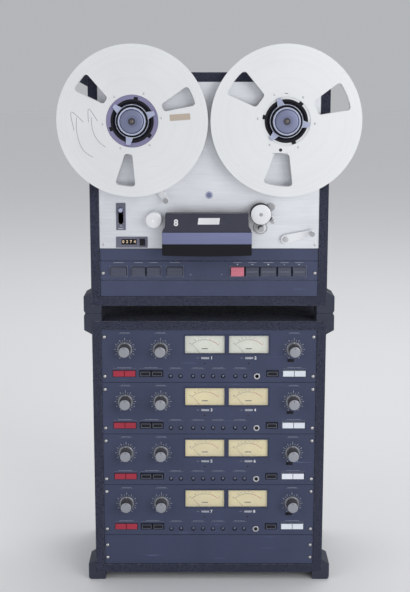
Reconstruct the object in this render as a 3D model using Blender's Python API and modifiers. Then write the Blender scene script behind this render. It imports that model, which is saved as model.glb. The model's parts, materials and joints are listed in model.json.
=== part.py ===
"""Eight-channel reel-to-reel tape recorder: a transport cabinet stacked on a cabinet of recording amplifiers.

Metres, +Z up, X to the right and +Y away from the viewer. The origin is on the floor, under the middle of
the recorder. A depth that is called proud is measured towards the viewer from the front edge of the cabinets.
"""

import math

import bmesh
import bpy
from mathutils import Matrix, Vector

# Clearances shared by the whole recorder
SEAT_GAP = 0.0003
RUN_GAP = 0.0005
EDGE_GAP = 0.0004
OVERRUN = 0.002
EMBED = 0.001
WELD = 0.000001

# Cabinets
CASE_WIDTH = 0.432
CASE_DEPTH = 0.255
BOARD = 0.0165
BLOCK_PROUD = 0.0145
BLOCK_INWARD = 0.018
BLOCK_SIDE_REACH = 0.025
BLOCK_SLOPE = 0.008
BLOCK_ROUND = 0.005
BLOCK_DEPTH = 0.060

# Panels that fill the cabinets
PANEL_THICKNESS = 0.003
PANEL_RECESS = 0.002
MODULE_COUNT = 4
MODULE_HEIGHT = 0.100
BLANK_HEIGHT = 0.059
DECK_HEIGHT = 0.299
KEY_PANEL_HEIGHT = 0.0583
LOWER_PANEL_HEIGHT = 0.031
TRIM_HEIGHT = 0.0223
TRIM_GROOVE = 0.0010
TRIM_GROOVE_DEPTH = 0.0010

# Chassis behind the deck
CHASSIS_SHEET = 0.003
CHASSIS_DEPTH = 0.060
CHASSIS_HOLE_MARGIN = 0.0020

# Reels and what turns them
REEL_RADIUS = 0.13335
REEL_APART = 0.0043
REEL_DROP = 0.0846
REEL_RIM = 0.01835
REEL_BORE_RADIUS = 0.0381
FLANGE_SHEET = 0.0015
HUB_WIDTH = 0.0138
HUB_RADIUS = 0.0571
HUB_RING_RADIUS = 0.0460
HUB_NOTCH_WIDTH = 0.0076
HUB_NOTCH_DEPTH = 0.0045
WINDOW_TO_HUB = 0.0014
WINDOW_ROUND = 0.0055
NARROW_WINDOW_INNER = 0.0135
NARROW_WINDOW_OUTER = 0.0370
WIDE_WINDOW_INNER = 0.0260
WIDE_WINDOW_OUTER = 0.0530
WINDOW_ANGLE = 23.0
TABLE_RADIUS = 0.055
TABLE_THICKNESS = 0.006
TABLE_EDGE = 0.0015
TABLE_STANDOFF = 0.010
TABLE_BOSS_RADIUS = 0.014
TABLE_SHAFT_RADIUS = 0.005
TABLE_SHAFT_LENGTH = 0.052
CORE_KEY_WIDTH = 0.0062
CORE_KEY_REACH = 0.0038
CORE_GROOVE = 0.002
CORE_GROOVE_RADIUS = 0.030
LUG_THICKNESS = 0.004
LUG_REACH = 0.042
LUG_ROOT_WIDTH = 0.013
LUG_TIP_WIDTH = 0.007
LOCK_RING_RADIUS = 0.029
GRIP_RADIUS = 0.025
GRIP_RIB_DEPTH = 0.0012
GRIP_RIBS = 18
GRIP_HEIGHT = 0.009
GRIP_CAP_RADIUS = 0.019
GRIP_CAP_HEIGHT = 0.003
GRIP_SCREW_RADIUS = 0.006
GRIP_SCREW_HEIGHT = 0.0015
STEM_RADIUS = 0.008
STEM_LENGTH = 0.010
LEFT_LUG_ANGLE = 20.0
RIGHT_LUG_ANGLE = 110.0
LUG_TO_KEY_ANGLE = 60.0
REEL_MOTOR_RADIUS = 0.052
REEL_MOTOR_LENGTH = 0.088
REEL_MOTOR_COLLAR_RADIUS = 0.030
REEL_MOTOR_COLLAR = 0.006
REEL_MOTOR_EDGE = 0.004

# Tape path; places are X and height above the bottom edge of the deck plate
GUIDE_ROLLER_PLACE = (-0.0990, 0.0551)
GUIDE_ROLLER_RADIUS = 0.0144
GUIDE_ROLLER_WAIST = 0.0015
GUIDE_ROLLER_LIP = 0.0040
GUIDE_ROLLER_HEIGHT = 0.025
GUIDE_ROLLER_LIFT = 0.004
GUIDE_SHAFT_RADIUS = 0.004
GUIDE_FLYWHEEL_RADIUS = 0.022
GUIDE_FLYWHEEL_WIDTH = 0.008
CAPSTAN_PLACE = (0.0931, 0.0391)
CAPSTAN_RADIUS = 0.0046
CAPSTAN_REACH = 0.032
CAPSTAN_COLLAR_RADIUS = 0.0125
CAPSTAN_COLLAR_RISE = 0.004
CAPSTAN_MOUNT_RADIUS = 0.030
CAPSTAN_MOUNT_THICKNESS = 0.005
CAPSTAN_SLEEVE_RADIUS = 0.013
CAPSTAN_SLEEVE_LENGTH = 0.036
FLYWHEEL_RADIUS = 0.045
FLYWHEEL_WIDTH = 0.012
PINCH_PLACE = (0.0927, 0.0652)
PINCH_RADIUS = 0.0188
PINCH_HEIGHT = 0.0225
PINCH_AXLE_RADIUS = 0.003
PINCH_PIVOT_PLACE = (0.1120, 0.0762)
PINCH_ARM_LIFT = 0.0030
PINCH_ARM_THICKNESS = 0.0035
PINCH_ARM_RADIUS = 0.0070
POST_PLACE = (0.1134, 0.0530)
POST_RADIUS = 0.0025
POST_LIP_RADIUS = 0.0040
POST_LIP = 0.0020
POST_REACH = 0.031
LEFT_ARM_PIVOT = (-0.1280, 0.1571)
LEFT_ARM_PIN = (-0.0778, 0.0897)
RIGHT_ARM_PIVOT = (0.1386, 0.0180)
RIGHT_ARM_PIN = (0.1850, 0.0301)
ARM_LIFT = 0.0045
ARM_THICKNESS = 0.0035
ARM_ROOT_RADIUS = 0.0085
ARM_TIP_RADIUS = 0.0050
ARM_PIN_RADIUS = 0.0034
ARM_PIN_LIP_RADIUS = 0.0045
ARM_PIN_LIP = 0.0020
ARM_PIN_LENGTH = 0.0230
PIVOT_RADIUS = 0.0045
PIVOT_TAIL = 0.006

# Heads, their housing and its flip cover; heights are above the bottom edge of the deck plate
HEAD_LEFT = -0.0838
HEAD_RIGHT = 0.0757
HEAD_SHELL = 0.0020
HOUSING_BOTTOM = -0.0070
HOUSING_TOP = 0.0362
HOUSING_BAND_BOTTOM = 0.0156
HOUSING_STEP = 0.0012
HOUSING_PROUD = 0.050
HOUSING_SAG = 0.0016
COVER_TOP = 0.0690
COVER_TOP_INSET_LEFT = 0.0060
COVER_TOP_INSET_RIGHT = 0.0065
COVER_FLARE_HEIGHT = 0.0110
COVER_FLARE_INSET = 0.0050
COVER_FLARE_PROUD = 0.038
COVER_PROUD_TOP = 0.043
COVER_BACK_PROUD = 0.0205
TAPE_SLOT_HEIGHT = 0.0200
TAPE_SLOT_FRONT = 0.036
HEAD_PLATE_THICKNESS = 0.004
HEAD_PLATE_MARGIN = 0.0015
HEAD_CENTRES = (-0.036, 0.002, 0.040)
HEAD_WIDTH = 0.023
HEAD_BOTTOM = 0.012
HEAD_TOP = 0.0435
HEAD_PROUD = 0.036
HEAD_ROUND = 0.006

# Cue lever in its slot
CUE_PLACE_X = -0.1600
CUE_SLOT_TOP = 0.0763
CUE_SLOT_LENGTH = 0.0318
CUE_SLOT_WIDTH = 0.0094
CUE_FRAME_WIDTH = 0.0172
CUE_FRAME_TOP = 0.0834
CUE_FRAME_BOTTOM = 0.0339
CUE_FRAME_RISE = 0.0012
CUE_STEM_RADIUS = 0.0038
CUE_REACH = 0.011
CUE_SHOE_WIDTH = 0.016
CUE_SHOE_THICKNESS = 0.004

# Tape counter and its reset button
COUNTER_LEFT = -0.1695
COUNTER_RIGHT = -0.1118
COUNTER_BOTTOM = 0.0017
COUNTER_TOP = 0.0219
COUNTER_RISE = 0.0020
COUNTER_LEDGE = 0.0030
COUNTER_BODY_DEPTH = 0.032
COUNTER_WINDOW_LEFT = -0.1596
COUNTER_WINDOW_RIGHT = -0.1318
COUNTER_WINDOW_BOTTOM = 0.0075
COUNTER_WINDOW_TOP = 0.0176
COUNTER_WINDOW_DEPTH = 0.0025
RESET_LEFT = -0.1255
RESET_WIDTH = 0.0082
RESET_BOTTOM = 0.0062
RESET_HEIGHT = 0.0114
RESET_REACH = 0.0030
RESET_DEPTH = 0.012
RESET_TRAVEL = 0.0025

# Transport keys; heights are above the bottom edge of the key panel
KEY_BOTTOM = 0.0076
KEY_HEIGHT = 0.0168
KEY_WIDTH = 0.0236
WIDE_KEY_WIDTH = 0.0284
KEY_SPACE = 0.0034
KEY_REACH = 0.0036
KEY_DISH = 0.0008
KEY_RIDGE = 0.0020
KEY_EDGE = 0.0014
KEY_TAIL = 0.012
LEFT_KEY_CENTRES = (-0.1653, -0.1288, -0.1016, -0.0625)
RIGHT_KEY_START = 0.0400

# Back of the transport cabinet
BACK_RECESS = 0.006
VENT_ROWS = 7
VENT_LENGTH = 0.130
VENT_WIDTH = 0.005
VENT_PITCH = 0.014
VENT_TOP_MARGIN = 0.090
VENT_SPREAD = 0.170
INLET_WIDTH = 0.028
INLET_HEIGHT = 0.020
INLET_DEPTH = 0.018
INLET_WALL = 0.002
INLET_PIN_WIDTH = 0.002
INLET_PIN_HEIGHT = 0.004
INLET_PIN_SPREAD = 0.007
INLET_X = 0.130
INLET_Z = 0.050

# Amplifier modules; heights are above the bottom edge of the module's panel
KNOB_HEIGHT = 0.0632
KNOB_PLACES = (-0.1560, -0.0900, 0.1575)
KNOB_SKIRT_RADIUS = 0.0138
KNOB_SKIRT_HEIGHT = 0.0040
KNOB_RADIUS = 0.0113
KNOB_CAP_RADIUS = 0.0104
KNOB_REACH = 0.024
KNOB_CAP_EDGE = 0.0010
KNOB_SHAFT_RADIUS = 0.003
KNOB_SHAFT_LENGTH = 0.011
METER_LEFT = -0.0469
METER_RIGHT = 0.1127
METER_BOTTOM = 0.0530
METER_TOP = 0.0913
METER_RIM = 0.0025
METER_POST = 0.0083
METER_RISE = 0.0008
METER_BODY_DEPTH = 0.030
METER_DIAL_DEPTH = 0.0045
BAY_BOTTOM = 0.0105
BAY_TOP = 0.0234
BAYS = ((-0.1790, -0.1358, 2), (-0.1296, -0.0853, 2), (0.1066, 0.1293, 1), (0.1367, 0.1804, 2))
BAY_MARGIN = 0.0011
BUTTON_SPACE = 0.0012
BUTTON_REACH = 0.0018
BANK_DEPTH = 0.014
BANK_MARGIN = 0.002
TRIM_HOLE_HEIGHT = 0.0119
TRIM_HOLE_RADIUS = 0.0036
TRIM_HOLES = (-0.0716, -0.0530, -0.0298, -0.0112, 0.0077, 0.0263, 0.0490, 0.0670)
JACK_PLACE = (0.0891, 0.0119)
JACK_RADIUS = 0.0033
TRAY_SIDE_INSET = 0.010
TRAY_SHEET = 0.0016
TRAY_BACK_ROOM = 0.045
TRAY_BOTTOM = 0.003
TRAY_HEIGHT = 0.088
SOCKET_PLACES = (-0.150, -0.120, -0.060, -0.030)
SOCKET_HEIGHT = 0.045
SOCKET_RADIUS = 0.0045
SOCKET_REACH = 0.010
CONNECTOR_LEFT = 0.080
CONNECTOR_RIGHT = 0.140
CONNECTOR_BOTTOM = 0.036
CONNECTOR_TOP = 0.054

# Facets of the round pieces
REEL_STEPS = 52
HUB_STEPS = 30
LARGE_STEPS = 22
MID_STEPS = 16
SMALL_STEPS = 12
HOLE_STEPS = 8
ARC_STEPS = 4
WINDOW_STEPS = 2

# Levels that follow from the sizes above
RACK_BOTTOM = BLOCK_PROUD
RACK_INNER_BOTTOM = RACK_BOTTOM + BOARD
RACK_HEIGHT = 2 * BOARD + MODULE_COUNT * MODULE_HEIGHT + BLANK_HEIGHT
RACK_TOP = RACK_BOTTOM + RACK_HEIGHT
TRANSPORT_BOTTOM = RACK_TOP + BLOCK_PROUD + SEAT_GAP + BLOCK_PROUD
LOWER_PANEL_BOTTOM = TRANSPORT_BOTTOM + BOARD
KEY_PANEL_BOTTOM = LOWER_PANEL_BOTTOM + LOWER_PANEL_HEIGHT
DECK_BOTTOM = KEY_PANEL_BOTTOM + KEY_PANEL_HEIGHT
DECK_TOP = DECK_BOTTOM + DECK_HEIGHT
TRANSPORT_TOP = DECK_TOP + BOARD
INNER_HALF = CASE_WIDTH / 2 - BOARD
PANEL_HALF = INNER_HALF - EDGE_GAP
REEL_HEIGHT = TRANSPORT_TOP - REEL_DROP
REEL_X = REEL_RADIUS + REEL_APART / 2
WINDOW_INNER_RADIUS = HUB_RADIUS + WINDOW_TO_HUB
WINDOW_OUTER_RADIUS = REEL_RADIUS - REEL_RIM

# Depths that follow from the sizes above, all proud of the cabinets' front edge
FACE = -PANEL_RECESS
PANEL_BACK = FACE - PANEL_THICKNESS
CHASSIS_FRONT = PANEL_BACK - SEAT_GAP
CHASSIS_BACK = CHASSIS_FRONT - CHASSIS_SHEET
BEHIND_CHASSIS = CHASSIS_BACK - SEAT_GAP
TABLE_BACK = FACE + TABLE_STANDOFF
TABLE_FRONT = TABLE_BACK + TABLE_THICKNESS
REAR_FLANGE_BACK = TABLE_FRONT + SEAT_GAP
HUB_BACK = REAR_FLANGE_BACK + FLANGE_SHEET + SEAT_GAP
HUB_FRONT = HUB_BACK + HUB_WIDTH
FRONT_FLANGE_BACK = HUB_FRONT + SEAT_GAP
FRONT_FLANGE_FRONT = FRONT_FLANGE_BACK + FLANGE_SHEET
LUG_BACK = FRONT_FLANGE_FRONT + SEAT_GAP
LUG_FRONT = LUG_BACK + LUG_THICKNESS
GRIP_FRONT = LUG_FRONT + GRIP_HEIGHT
KNOB_FRONT = GRIP_FRONT + GRIP_CAP_HEIGHT + GRIP_SCREW_HEIGHT
FRONT_Y = (KNOB_FRONT - CASE_DEPTH) / 2

# Turns the front view into the world: local X stays, local Y becomes up and local Z comes towards the viewer
FRONT_VIEW = Matrix.Rotation(math.radians(90.0), 4, "X")
# Turns a side view into the world: local X comes towards the viewer and local Y becomes up
SIDE_VIEW = Matrix(((0, 0, -1), (-1, 0, 0), (0, 1, 0))).to_4x4()

FINISHES = {
    "case": ((0.115, 0.120, 0.135), 0.75, 0.0),
    "deck_metal": ((0.780, 0.785, 0.800), 0.35, 1.0),
    "panel_paint": ((0.130, 0.140, 0.165), 0.60, 0.0),
    "reel_metal": ((0.860, 0.860, 0.870), 0.38, 1.0),
    "hub_plastic": ((0.350, 0.330, 0.380), 0.55, 0.0),
    "dark_plastic": ((0.035, 0.035, 0.040), 0.50, 0.0),
    "grey_plastic": ((0.250, 0.250, 0.280), 0.50, 0.0),
    "steel": ((0.560, 0.560, 0.580), 0.30, 1.0),
    "zinc_sheet": ((0.520, 0.520, 0.500), 0.45, 1.0),
    "motor_paint": ((0.080, 0.080, 0.085), 0.60, 0.0),
    "rubber": ((0.030, 0.030, 0.030), 0.85, 0.0),
    "white_metal": ((0.820, 0.820, 0.820), 0.40, 0.3),
    "knob_silver": ((0.600, 0.620, 0.650), 0.35, 0.8),
    "red_key": ((0.800, 0.230, 0.250), 0.45, 0.0),
}


def front_y(proud):
    """World Y of a depth that is proud of the cabinets' front edge."""
    return FRONT_Y - proud


def start_scene():
    """Empties the scene and makes the collections for the recorder and its cutters."""
    for old in list(bpy.data.objects):
        bpy.data.objects.remove(old, do_unlink=True)
    found = {}
    for name in ("tape_recorder", "cutters"):
        collection = bpy.data.collections.new(name)
        bpy.context.scene.collection.children.link(collection)
        found[name] = collection
    return found["tape_recorder"], found["cutters"]


PARTS, CUTTERS = start_scene()


def finish_material(name):
    """The Principled material of a finish in the table above."""
    found = bpy.data.materials.get(name)
    if found:
        return found
    colour, roughness, metallic = FINISHES[name]
    made = bpy.data.materials.new(name)
    made.use_nodes = True
    shader = made.node_tree.nodes["Principled BSDF"]
    shader.inputs["Base Color"].default_value = (*colour, 1.0)
    shader.inputs["Roughness"].default_value = roughness
    shader.inputs["Metallic"].default_value = metallic
    made.diffuse_color = (*colour, 1.0)
    return made


def tool(obj):
    """Marks an object as a cutter or a shape to be joined, which is not a piece itself."""
    for collection in list(obj.users_collection):
        collection.objects.unlink(obj)
    CUTTERS.objects.link(obj)
    obj.hide_render = True
    obj.display_type = "WIRE"
    return obj


def piece(obj, name, finish):
    """Names an object as a piece of the recorder and gives it its finish."""
    for collection in list(obj.users_collection):
        collection.objects.unlink(obj)
    PARTS.objects.link(obj)
    obj.name = name
    obj.hide_render = False
    obj.display_type = "TEXTURED"
    obj.data.materials.clear()
    obj.data.materials.append(finish_material(finish))
    return obj


def object_from_bmesh(shape, matrix=Matrix.Identity(4)):
    """A new object from a bmesh, with the given place."""
    mesh = bpy.data.meshes.new("shape")
    shape.to_mesh(mesh)
    shape.free()
    made = bpy.data.objects.new("shape", mesh)
    made.matrix_world = matrix
    return tool(made)


def box(x0, x1, back, front, z0, z1, edge=0.0):
    """A box between two X values, two proud depths and two heights, with optional rounded edges."""
    shape = bmesh.new()
    bmesh.ops.create_cube(shape, size=1.0)
    size = Vector((x1 - x0, front - back, z1 - z0))
    bmesh.ops.scale(shape, vec=size, verts=shape.verts)
    made = object_from_bmesh(shape)
    made.location = ((x0 + x1) / 2, front_y((back + front) / 2), (z0 + z1) / 2)
    if edge:
        bevel = made.modifiers.new("edge", "BEVEL")
        bevel.width = edge
        bevel.segments = 2
    return made


def rod(x, z, radius, back, front, steps=HOLE_STEPS):
    """A round bar that points at the viewer."""
    shape = bmesh.new()
    bmesh.ops.create_cone(
        shape, cap_ends=True, segments=steps, radius1=radius, radius2=radius, depth=front - back
    )
    made = object_from_bmesh(shape, FRONT_VIEW)
    made.location = (x, front_y((back + front) / 2), z)
    return made


def turned(x, z, profile, steps):
    """A turned solid whose axis points at the viewer. The profile is (radius, proud), from front to back."""
    mesh = bpy.data.meshes.new("profile")
    points = [(radius, 0.0, proud) for radius, proud in profile]
    closed = profile[0][0] > 0.0
    edges = [(i, i + 1) for i in range(len(points) - 1)]
    if closed:
        edges.append((len(points) - 1, 0))
    mesh.from_pydata(points, edges, [])
    made = bpy.data.objects.new("turned", mesh)
    made.matrix_world = FRONT_VIEW
    made.location = (x, FRONT_Y, z)
    screw = made.modifiers.new("turn", "SCREW")
    screw.axis = "Z"
    screw.steps = steps
    screw.render_steps = steps
    screw.use_merge_vertices = True
    screw.merge_threshold = WELD
    return tool(made)


def solid_mesh(obj):
    """Swaps an object for a plain mesh of what its modifiers or its curve make, in the same place."""
    bpy.context.view_layer.update()
    evaluated = obj.evaluated_get(bpy.context.evaluated_depsgraph_get())
    mesh = bpy.data.meshes.new_from_object(evaluated)
    shape = bmesh.new()
    shape.from_mesh(mesh)
    bmesh.ops.remove_doubles(shape, verts=shape.verts, dist=WELD)
    bmesh.ops.recalc_face_normals(shape, faces=shape.faces)
    shape.to_mesh(mesh)
    shape.free()
    made = bpy.data.objects.new("solid", mesh)
    made.matrix_world = obj.matrix_world.copy()
    bpy.data.objects.remove(obj, do_unlink=True)
    return tool(made)


def plate(outlines, back, front, x=0.0, z=0.0):
    """A flat plate that faces the viewer: an outline and its holes, from one proud depth to another."""
    curve = bpy.data.curves.new("outline", "CURVE")
    curve.dimensions = "2D"
    curve.fill_mode = "BOTH"
    curve.extrude = (front - back) / 2
    for points in outlines:
        spline = curve.splines.new("POLY")
        spline.points.add(len(points) - 1)
        for point, (px, pz) in zip(spline.points, points):
            point.co = (px, pz, 0.0, 1.0)
        spline.use_cyclic_u = True
    made = bpy.data.objects.new("plate", curve)
    CUTTERS.objects.link(made)
    made.matrix_world = FRONT_VIEW
    made.location = (x, front_y((back + front) / 2), z)
    return solid_mesh(made)


def side_profile(points, x0, x1, z=0.0):
    """A bar along X with the side view that the points give as (proud, height)."""
    made = plate([points], x0, x1)
    made.matrix_world = SIDE_VIEW
    made.location = ((x0 + x1) / 2, FRONT_Y, z)
    return made


def gather(objects):
    """Joins loose shapes into one tool object, in world coordinates."""
    bpy.context.view_layer.update()
    depsgraph = bpy.context.evaluated_depsgraph_get()
    shape = bmesh.new()
    for obj in objects:
        mesh = bpy.data.meshes.new_from_object(obj.evaluated_get(depsgraph))
        mesh.transform(obj.matrix_world)
        shape.from_mesh(mesh)
        bpy.data.meshes.remove(mesh)
    bmesh.ops.remove_doubles(shape, verts=shape.verts, dist=WELD)
    made = object_from_bmesh(shape)
    for obj in objects:
        bpy.data.objects.remove(obj, do_unlink=True)
    return made


def boolean(obj, operation, shapes):
    """Cuts the shapes out of an object, or joins them to it."""
    other = gather(shapes)
    step = obj.modifiers.new(operation.lower(), "BOOLEAN")
    step.operation = operation
    step.object = other
    step.solver = "EXACT"
    return obj


def cut(obj, shapes):
    return boolean(obj, "DIFFERENCE", shapes)


def fuse(obj, *shapes):
    """Joins shapes one after the other, because they may overlap each other as well as the object."""
    for shape in shapes:
        boolean(obj, "UNION", [shape])
    return obj


def fuse_apart(obj, shapes):
    """Joins shapes that overlap the object and not each other."""
    return boolean(obj, "UNION", shapes)


def punched(x0, x1, back, front, z0, z1, holes):
    """A flat sheet with holes of the given outlines."""
    sheet = box(x0, x1, back, front, z0, z1)
    return cut(sheet, [plate([hole], back - OVERRUN, front + OVERRUN) for hole in holes])


def ring_points(radius, steps, x=0.0, z=0.0):
    """Points of a circle in the front view."""
    turns = [2 * math.pi * i / steps for i in range(steps)]
    return [(x + radius * math.cos(a), z + radius * math.sin(a)) for a in turns]


def hole_points(radius, steps, x=0.0, z=0.0):
    """Points of a round hole whose facets stay outside the given radius."""
    return ring_points(radius / math.cos(math.pi / steps), steps, x, z)


def rectangle(x0, x1, z0, z1):
    return [(x0, z0), (x1, z0), (x1, z1), (x0, z1)]


def rounded(corners, radii, steps=ARC_STEPS):
    """Rounds an outline's corners. A corner whose radius is zero stays sharp."""
    points = []
    count = len(corners)
    for i, corner in enumerate(corners):
        here = Vector(corner)
        before = (Vector(corners[i - 1]) - here).normalized()
        after = (Vector(corners[(i + 1) % count]) - here).normalized()
        if not radii[i]:
            points.append(corner)
            continue
        half = before.angle(after) / 2
        centre = here + (before + after).normalized() * (radii[i] / math.sin(half))
        first = here + before * (radii[i] / math.tan(half)) - centre
        last = here + after * (radii[i] / math.tan(half)) - centre
        turn = first.angle_signed(last)
        for step in range(steps + 1):
            spoke = first.copy()
            spoke.rotate(Matrix.Rotation(-turn * step / steps, 2))
            points.append(tuple(centre + spoke))
    return points


def polar(radius, degrees):
    angle = math.radians(degrees)
    return (radius * math.cos(angle), radius * math.sin(angle))


def spin(points, degrees):
    """Turns an outline about its origin, counter-clockwise as the viewer sees it."""
    c = math.cos(math.radians(degrees))
    s = math.sin(math.radians(degrees))
    return [(px * c - pz * s, px * s + pz * c) for px, pz in points]


def capsule(start, end, start_radius, end_radius, steps=HOLE_STEPS):
    """Outline of two circles of unlike size and the straight sides that join them."""
    run = Vector(end) - Vector(start)
    heading = math.atan2(run.y, run.x)
    lean = math.acos((start_radius - end_radius) / run.length)
    points = []
    for centre, radius, first, last in (
        (end, end_radius, heading - lean, heading + lean),
        (start, start_radius, heading + lean, heading - lean + 2 * math.pi),
    ):
        for step in range(steps + 1):
            angle = first + (last - first) * step / steps
            points.append((centre[0] + radius * math.cos(angle), centre[1] + radius * math.sin(angle)))
    return points


def block_outline(side, level, x_edge, z_edge):
    """Front view of a moulded corner block, wrapped round a cabinet's corner."""
    reach = BLOCK_SIDE_REACH
    corners = [
        (BLOCK_PROUD, -BLOCK_PROUD),
        (BLOCK_PROUD, reach - BLOCK_SLOPE),
        (0.0, reach),
        (-EMBED, reach),
        (-EMBED, EMBED),
        (-BLOCK_INWARD, EMBED),
        (-BLOCK_INWARD, -BLOCK_PROUD),
    ]
    radii = [BLOCK_ROUND, 0.0, 0.0, 0.0, 0.0, 0.0, BLOCK_ROUND / 2]
    points = rounded(corners, radii, WINDOW_STEPS)
    return [(x_edge + side * px, z_edge - level * pz) for px, pz in points]


def cabinet(name, bottom, top):
    """A cabinet of four boards, open at the front and the back, with a moulded block on every corner."""
    half = CASE_WIDTH / 2
    shell = box(-half, half, -CASE_DEPTH, 0.0, bottom, top)
    hollow = box(
        -INNER_HALF, INNER_HALF, -CASE_DEPTH - OVERRUN, OVERRUN, bottom + BOARD, top - BOARD
    )
    cut(shell, [hollow])
    blocks = []
    for side in (-1, 1):
        for level, z_edge in ((-1, bottom), (1, top)):
            outline = block_outline(side, level, side * half, z_edge)
            for front in (-EMBED, -CASE_DEPTH + EMBED + BLOCK_DEPTH):
                blocks.append(plate([outline], front - BLOCK_DEPTH, front))
    fuse_apart(shell, blocks)
    return piece(shell, name, "case")


def flange(name, x, window_inner, window_outer, bore, back):
    """A reel flange: a disc with three windows that widen outwards."""
    outlines = [ring_points(REEL_RADIUS, REEL_STEPS), hole_points(bore, HUB_STEPS)]
    inner_half = math.degrees(window_inner / 2 / WINDOW_INNER_RADIUS)
    outer_half = math.degrees(window_outer / 2 / WINDOW_OUTER_RADIUS)
    for turn in range(3):
        middle = WINDOW_ANGLE + 120.0 * turn
        corners = [
            polar(WINDOW_INNER_RADIUS, middle + inner_half),
            polar(WINDOW_INNER_RADIUS, middle - inner_half),
            polar(WINDOW_OUTER_RADIUS, middle - outer_half),
            polar(WINDOW_OUTER_RADIUS, middle),
            polar(WINDOW_OUTER_RADIUS, middle + outer_half),
        ]
        radii = [WINDOW_ROUND, WINDOW_ROUND, WINDOW_ROUND, 0.0, WINDOW_ROUND]
        outlines.append(rounded(corners, radii, WINDOW_STEPS))
    made = plate(outlines, back, back + FLANGE_SHEET, x, REEL_HEIGHT)
    return piece(made, name, "reel_metal")


def notched_bore(bore, notch_width, notch_depth, first_angle):
    """Outline of a hub's bore, with three notches for the adapter's keys."""
    half = math.degrees(math.asin(notch_width / 2 / bore))
    hole = []
    for turn in range(3):
        angle = first_angle + 120.0 * turn
        reach = bore + notch_depth
        tip_half = math.degrees(math.asin(notch_width / 2 / reach))
        hole.append(polar(bore, angle - half))
        hole.append(polar(reach, angle - tip_half))
        hole.append(polar(reach, angle + tip_half))
        hole.append(polar(bore, angle + half))
        span = 120.0 - 2 * half
        for step in range(1, 2 * ARC_STEPS):
            hole.append(polar(bore, angle + half + span * step / (2 * ARC_STEPS)))
    return hole


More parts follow.
